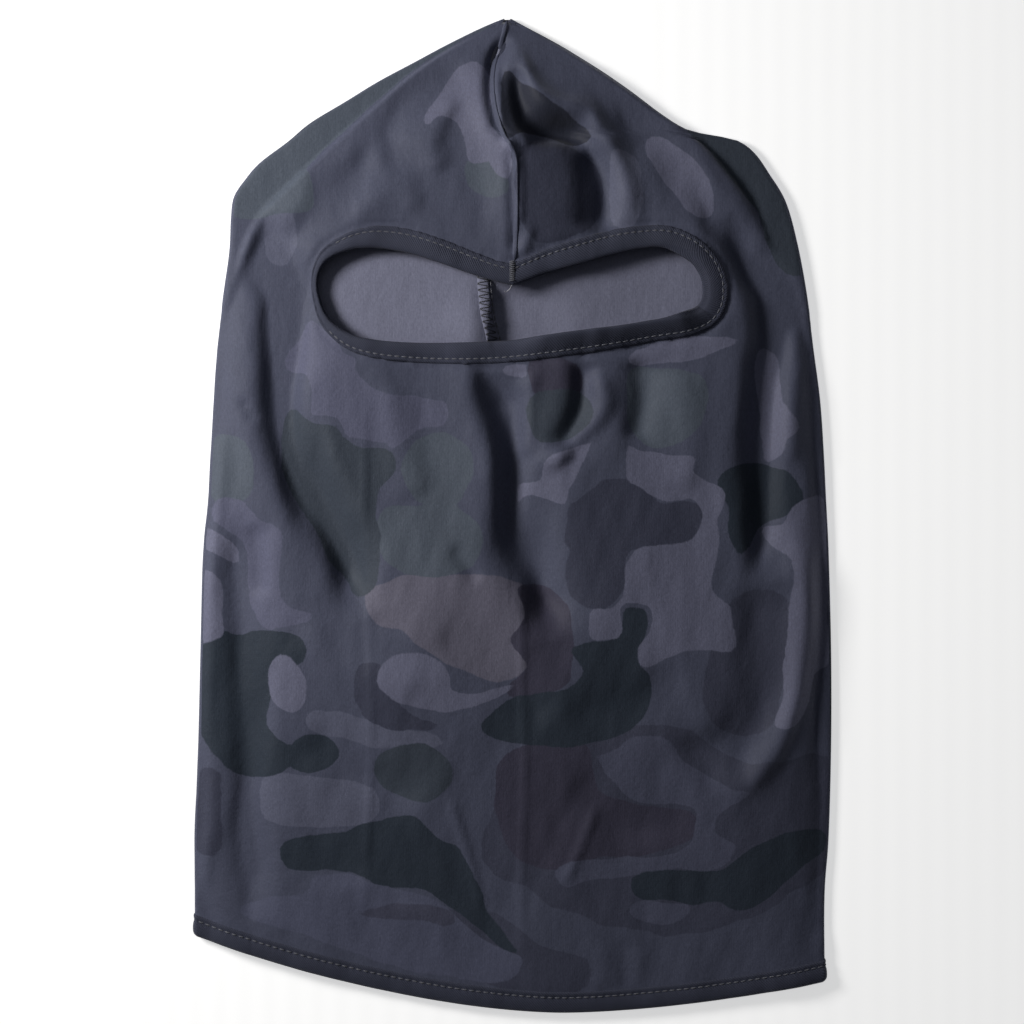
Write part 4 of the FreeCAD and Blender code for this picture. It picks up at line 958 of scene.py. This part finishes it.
def thread_tubes(name, paths, facing, girth, finish, sides=6):
    """Round threads: one path of points each, with the way up at each point and the radius at each point."""
    paths, facing = np.asarray(paths, float), np.asarray(facing, float)
    runs = unit(np.gradient(paths, axis=1))
    aside = unit(np.cross(facing, runs))
    upward = np.cross(runs, aside)
    turns = np.linspace(0, 2 * math.pi, sides, endpoint=False)
    spokes = aside[:, :, None] * np.cos(turns)[:, None] + upward[:, :, None] * np.sin(turns)[:, None]
    rings = paths[:, :, None] + spokes * np.asarray(girth)[:, None, None]
    threads, stations = paths.shape[:2]
    quads, unrolled = grid_quads(stations, sides, loop=True)
    quads = quads[:, ::-1]
    unrolled = unrolled[:, ::-1]
    per_thread, per_flat = stations * sides, stations * (sides + 1)
    shift = np.arange(threads)[:, None, None]
    quads = (quads[None] + shift * per_thread).reshape(-1, 4)
    unrolled = (unrolled[None] + shift * per_flat).reshape(-1, 4)
    steps = np.linalg.norm(np.diff(paths, axis=1), axis=2)
    gone = np.concatenate([np.zeros((threads, 1)), np.cumsum(steps, 1)], 1)
    girths = np.arange(sides + 1)[None, None] * TUBE_FLAT_STEP
    flat = np.stack(np.broadcast_arrays(girths, gone[:, :, None]), -1).reshape(-1, 2)
    return cloth_mesh(name, rings.reshape(-1, 3), quads, flat, unrolled, [finish])


def stitch_row(name, line, facing, finish, skip=None, radius=0.27):
    """Separate stitches along a line on the tape's face."""
    gone = gone_along(line)
    starts = np.arange(FIRST_STITCH, gone[-1] - STITCH_LENGTH - LAST_GAP, STITCH_PITCH)
    if skip is not None:
        starts = starts[~skip(*(np.interp(starts, gone, line[:, k]) for k in (0, 1)))]
    places = starts[:, None] + STITCH_STATIONS[None, :] * STITCH_LENGTH
    points = np.stack([np.interp(places, gone, line[:, k]) for k in range(3)], -1)
    ways = unit(np.stack([np.interp(places, gone, facing[:, k]) for k in range(3)], -1))
    points += ways * STITCH_RISE[None, :, None]
    return thread_tubes(name, points, ways, STITCH_GIRTH * radius, finish)


def on_tape(face):
    """The line on a tape's face that the stitches follow."""
    return face[:, list(ACROSS).index(STITCH_AT)]


NARROW_END = -73


def at_narrow_end(x, y):
    return x < NARROW_END


rows_of_stitches = [
    ("eye_needle_stitches", on_tape(eye_top), upright[:, 0], "eye_needle_thread", at_narrow_end),
    ("eye_looper_stitches", on_tape(eye_under), -upright[:, 0], "eye_looper_thread", at_narrow_end),
    ("hem_needle_stitches", on_tape(hem_top), hem_facing[:, 4], "hem_needle_thread", None),
    ("hem_looper_stitches", on_tape(hem_under), -hem_facing[:, 4], "hem_looper_thread", None),
]
for row_name, line, facing, node, skip in rows_of_stitches:
    row = stitch_row(row_name, line, facing, grey_thread, skip)
    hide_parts(node)
    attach(row, "root")

# ---------------------------------------------------------------- crown seam
# The seam from the brow up over the crown. Its two edges are turned inwards, and the right panel's
# edge stands a little proud along it as a thin rounded lip.
CROWN_SEAM = [(-2.4, 198.4), (-4.4, 190), (-7.2, 182), (-8.2, 174), (-7.4, 164), (-5.4, 156), (-3, 150),
              (-0.6, 146), (1.0, 141), (1.3, 130), (1.3, 116), (0.8, 101.5)]
LIP_WIDE, LIP_HIGH, LIP_RISE, END_TAPER = 0.95, 0.62, 0.45, 2.5


def rolled_strip(name, line, half_wide, half_high, rise, height, finishes, sides=10):
    """A flattened roll of cloth lying along a line."""
    plan = smooth_line(line, 14)
    runs = unit(np.gradient(plan, axis=0))
    aside = np.stack([runs[:, 1], -runs[:, 0]], -1)
    turns = np.linspace(0, 2 * math.pi, sides, endpoint=False)
    gone = gone_along(plan)
    ends = np.sqrt(np.clip(np.minimum(gone, gone[-1] - gone) / END_TAPER, 0.05, 1))
    flatten = np.sign(np.sin(turns)) * np.abs(np.sin(turns)) ** 0.7
    x = plan[:, None, 0] + aside[:, None, 0] * np.cos(turns) * half_wide * ends[:, None]
    y = plan[:, None, 1] + aside[:, None, 1] * np.cos(turns) * half_wide * ends[:, None]
    z = look_up(height, x, y) + rise + flatten[None, :] * half_high * ends[:, None]
    rings = np.stack([x, y, z], -1)
    quads, unrolled = grid_quads(len(plan), sides, loop=True)
    widths = np.append(gone_along(rings[8]), gone_along(rings[8])[-1] + 0.5)
    flat = np.stack(np.meshgrid(widths, gone), -1).reshape(-1, 2)
    piece = cloth_mesh(name, rings.reshape(-1, 3), quads, flat, unrolled, finishes)
    return piece, rings.reshape(-1, 3)


crown_lip, lip_points = rolled_strip(
    "crown_seam_lip", CROWN_SEAM, LIP_WIDE, LIP_HIGH, LIP_RISE, front_height, [outside_knit])
add_marks(crown_lip, print_and_shade_marks(lip_points[:, 0], lip_points[:, 1], np.zeros(len(lip_points), bool)))
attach(crown_lip, "root")

# ---------------------------------------------------------------- back seam, inside
# Inside the hood the back seam's edges are folded to the left and overlocked: a needle line along the
# seam, and a looper thread that zigzags over the edges. It shows through the eye opening.
BACK_SEAM = [(-6, 190), (-8.5, 170), (-11, 140), (-12, 116), (-11.9, 96), (-11.4, 88), (-10.4, 80),
             (-8.4, 72), (-6.6, 62), (-4, 40), (-2.6, 10), (-2, -60), (-1.6, -130), (-1.4, -188)]
EDGE_WIDE, EDGE_HIGH, EDGE_RISE = 2.35, 0.48, 0.85
OVERLOCK_PITCH = 2.6
SEAM_START, SEAM_STOP = 6.0, 4

seam_edges, _ = rolled_strip(
    "back_seam_edges", BACK_SEAM, EDGE_WIDE, EDGE_HIGH, EDGE_RISE, back_height, [inside_knit])
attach(seam_edges, "root")

seam_plan = smooth_line(BACK_SEAM, 14)
seam_gone = gone_along(seam_plan)


def beside_seam(places, aside, rise):
    """Points beside the back seam's middle, lying on the folded edges."""
    x, y = (np.interp(places, seam_gone, seam_plan[:, k]) for k in (0, 1))
    x = x + aside
    return np.stack([x, y, look_up(back_height, x, y) + rise], -1)


def overlock(name, node, phase, left, right, rise, radius):
    """One looper thread, zigzagging down the whole seam."""
    places = np.arange(SEAM_START, seam_gone[-1] - SEAM_STOP, OVERLOCK_PITCH / 8)
    swing = 2 * np.abs(((places / OVERLOCK_PITCH + phase) % 1.0) - 0.5)
    swing = 0.5 + 0.5 * np.sin((swing - 0.5) * math.pi)
    points = beside_seam(places, left + (right - left) * swing, rise)
    points[:, 2] -= 0.35 * np.abs(2 * swing - 1) ** 6
    ways = np.tile([0.0, 0.0, 1.0], (1, len(points), 1))
    piece = thread_tubes(name, points[None], ways, np.full(len(points), radius), dark_thread)
    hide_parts(node)
    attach(piece, "root")


overlock("seam_upper_looper", "seam_upper_looper_thread",
         phase=0.0, left=-2.3, right=2.2, rise=1.42, radius=0.24)
overlock("seam_lower_looper", "seam_lower_looper_thread",
         phase=0.5, left=-2.5, right=2.0, rise=0.30, radius=0.22)
needle_places = np.arange(SEAM_START, seam_gone[-1] - SEAM_STOP, 0.5)
needle_line = beside_seam(needle_places, aside=3.1, rise=0.45)
seam_needle = stitch_row("seam_needle_stitches", needle_line, np.tile([0.0, 0.0, 1.0], (len(needle_line), 1)),
                         grey_thread, radius=0.24)
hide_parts("seam_needle_thread")
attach(seam_needle, "root")

# ---------------------------------------------------------------- brow tack and thread end
# A bar tack holds the two ends of the eye tape where they meet at the brow, under the crown seam.
# A loose end of its thread, a few millimetres long, hangs into the opening.
TACK_X, TACK_LOW, TACK_HIGH, TACK_WIDE, TACK_BARS = -0.1, 93.6, 101.2, 2.1, 11
TACK_RISE, BAR_SLANT, BAR_RADIUS = 1.25, 0.2, 0.3
TAIL_POINTS = [(-0.2, 94.0, 9.0), (-0.3, 92.2, 9.3), (-0.7, 91.0, 8.4), (-1.6, 90.0, 7.7), (-2.6, 89.2, 7.8),
               (-3.3, 89.6, 8.2)]

bar_heights = np.linspace(TACK_LOW, TACK_HIGH, TACK_BARS)
bar_x = np.array([-0.5, -0.42, -0.2, 0, 0.2, 0.42, 0.5]) * TACK_WIDE + TACK_X
bar_y = bar_heights[:, None] + np.linspace(-BAR_SLANT, BAR_SLANT, len(bar_x))
bar_paths = np.stack([np.broadcast_to(bar_x, bar_y.shape), bar_y, np.zeros(bar_y.shape)], -1)
bar_paths[..., 2] = lie(bar_paths[..., 0], bar_paths[..., 1]) + TACK_RISE + STITCH_RISE
bar_ways = np.tile([0.0, 0.0, 1.0], (*bar_y.shape, 1))
tack = thread_tubes("brow_bar_tack", bar_paths, bar_ways, STITCH_GIRTH * BAR_RADIUS, grey_thread)
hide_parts("brow_bartack")
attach(tack, "root")

tail_line = smooth_line(TAIL_POINTS, 5)
tail = thread_tubes("brow_thread_end", tail_line[None], np.tile([0.0, 0.0, 1.0], (1, len(tail_line), 1)),
                    np.linspace(0.22, 0.12, len(tail_line)), pale_thread)
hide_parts("brow_thread_tail")
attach(tail, "root")
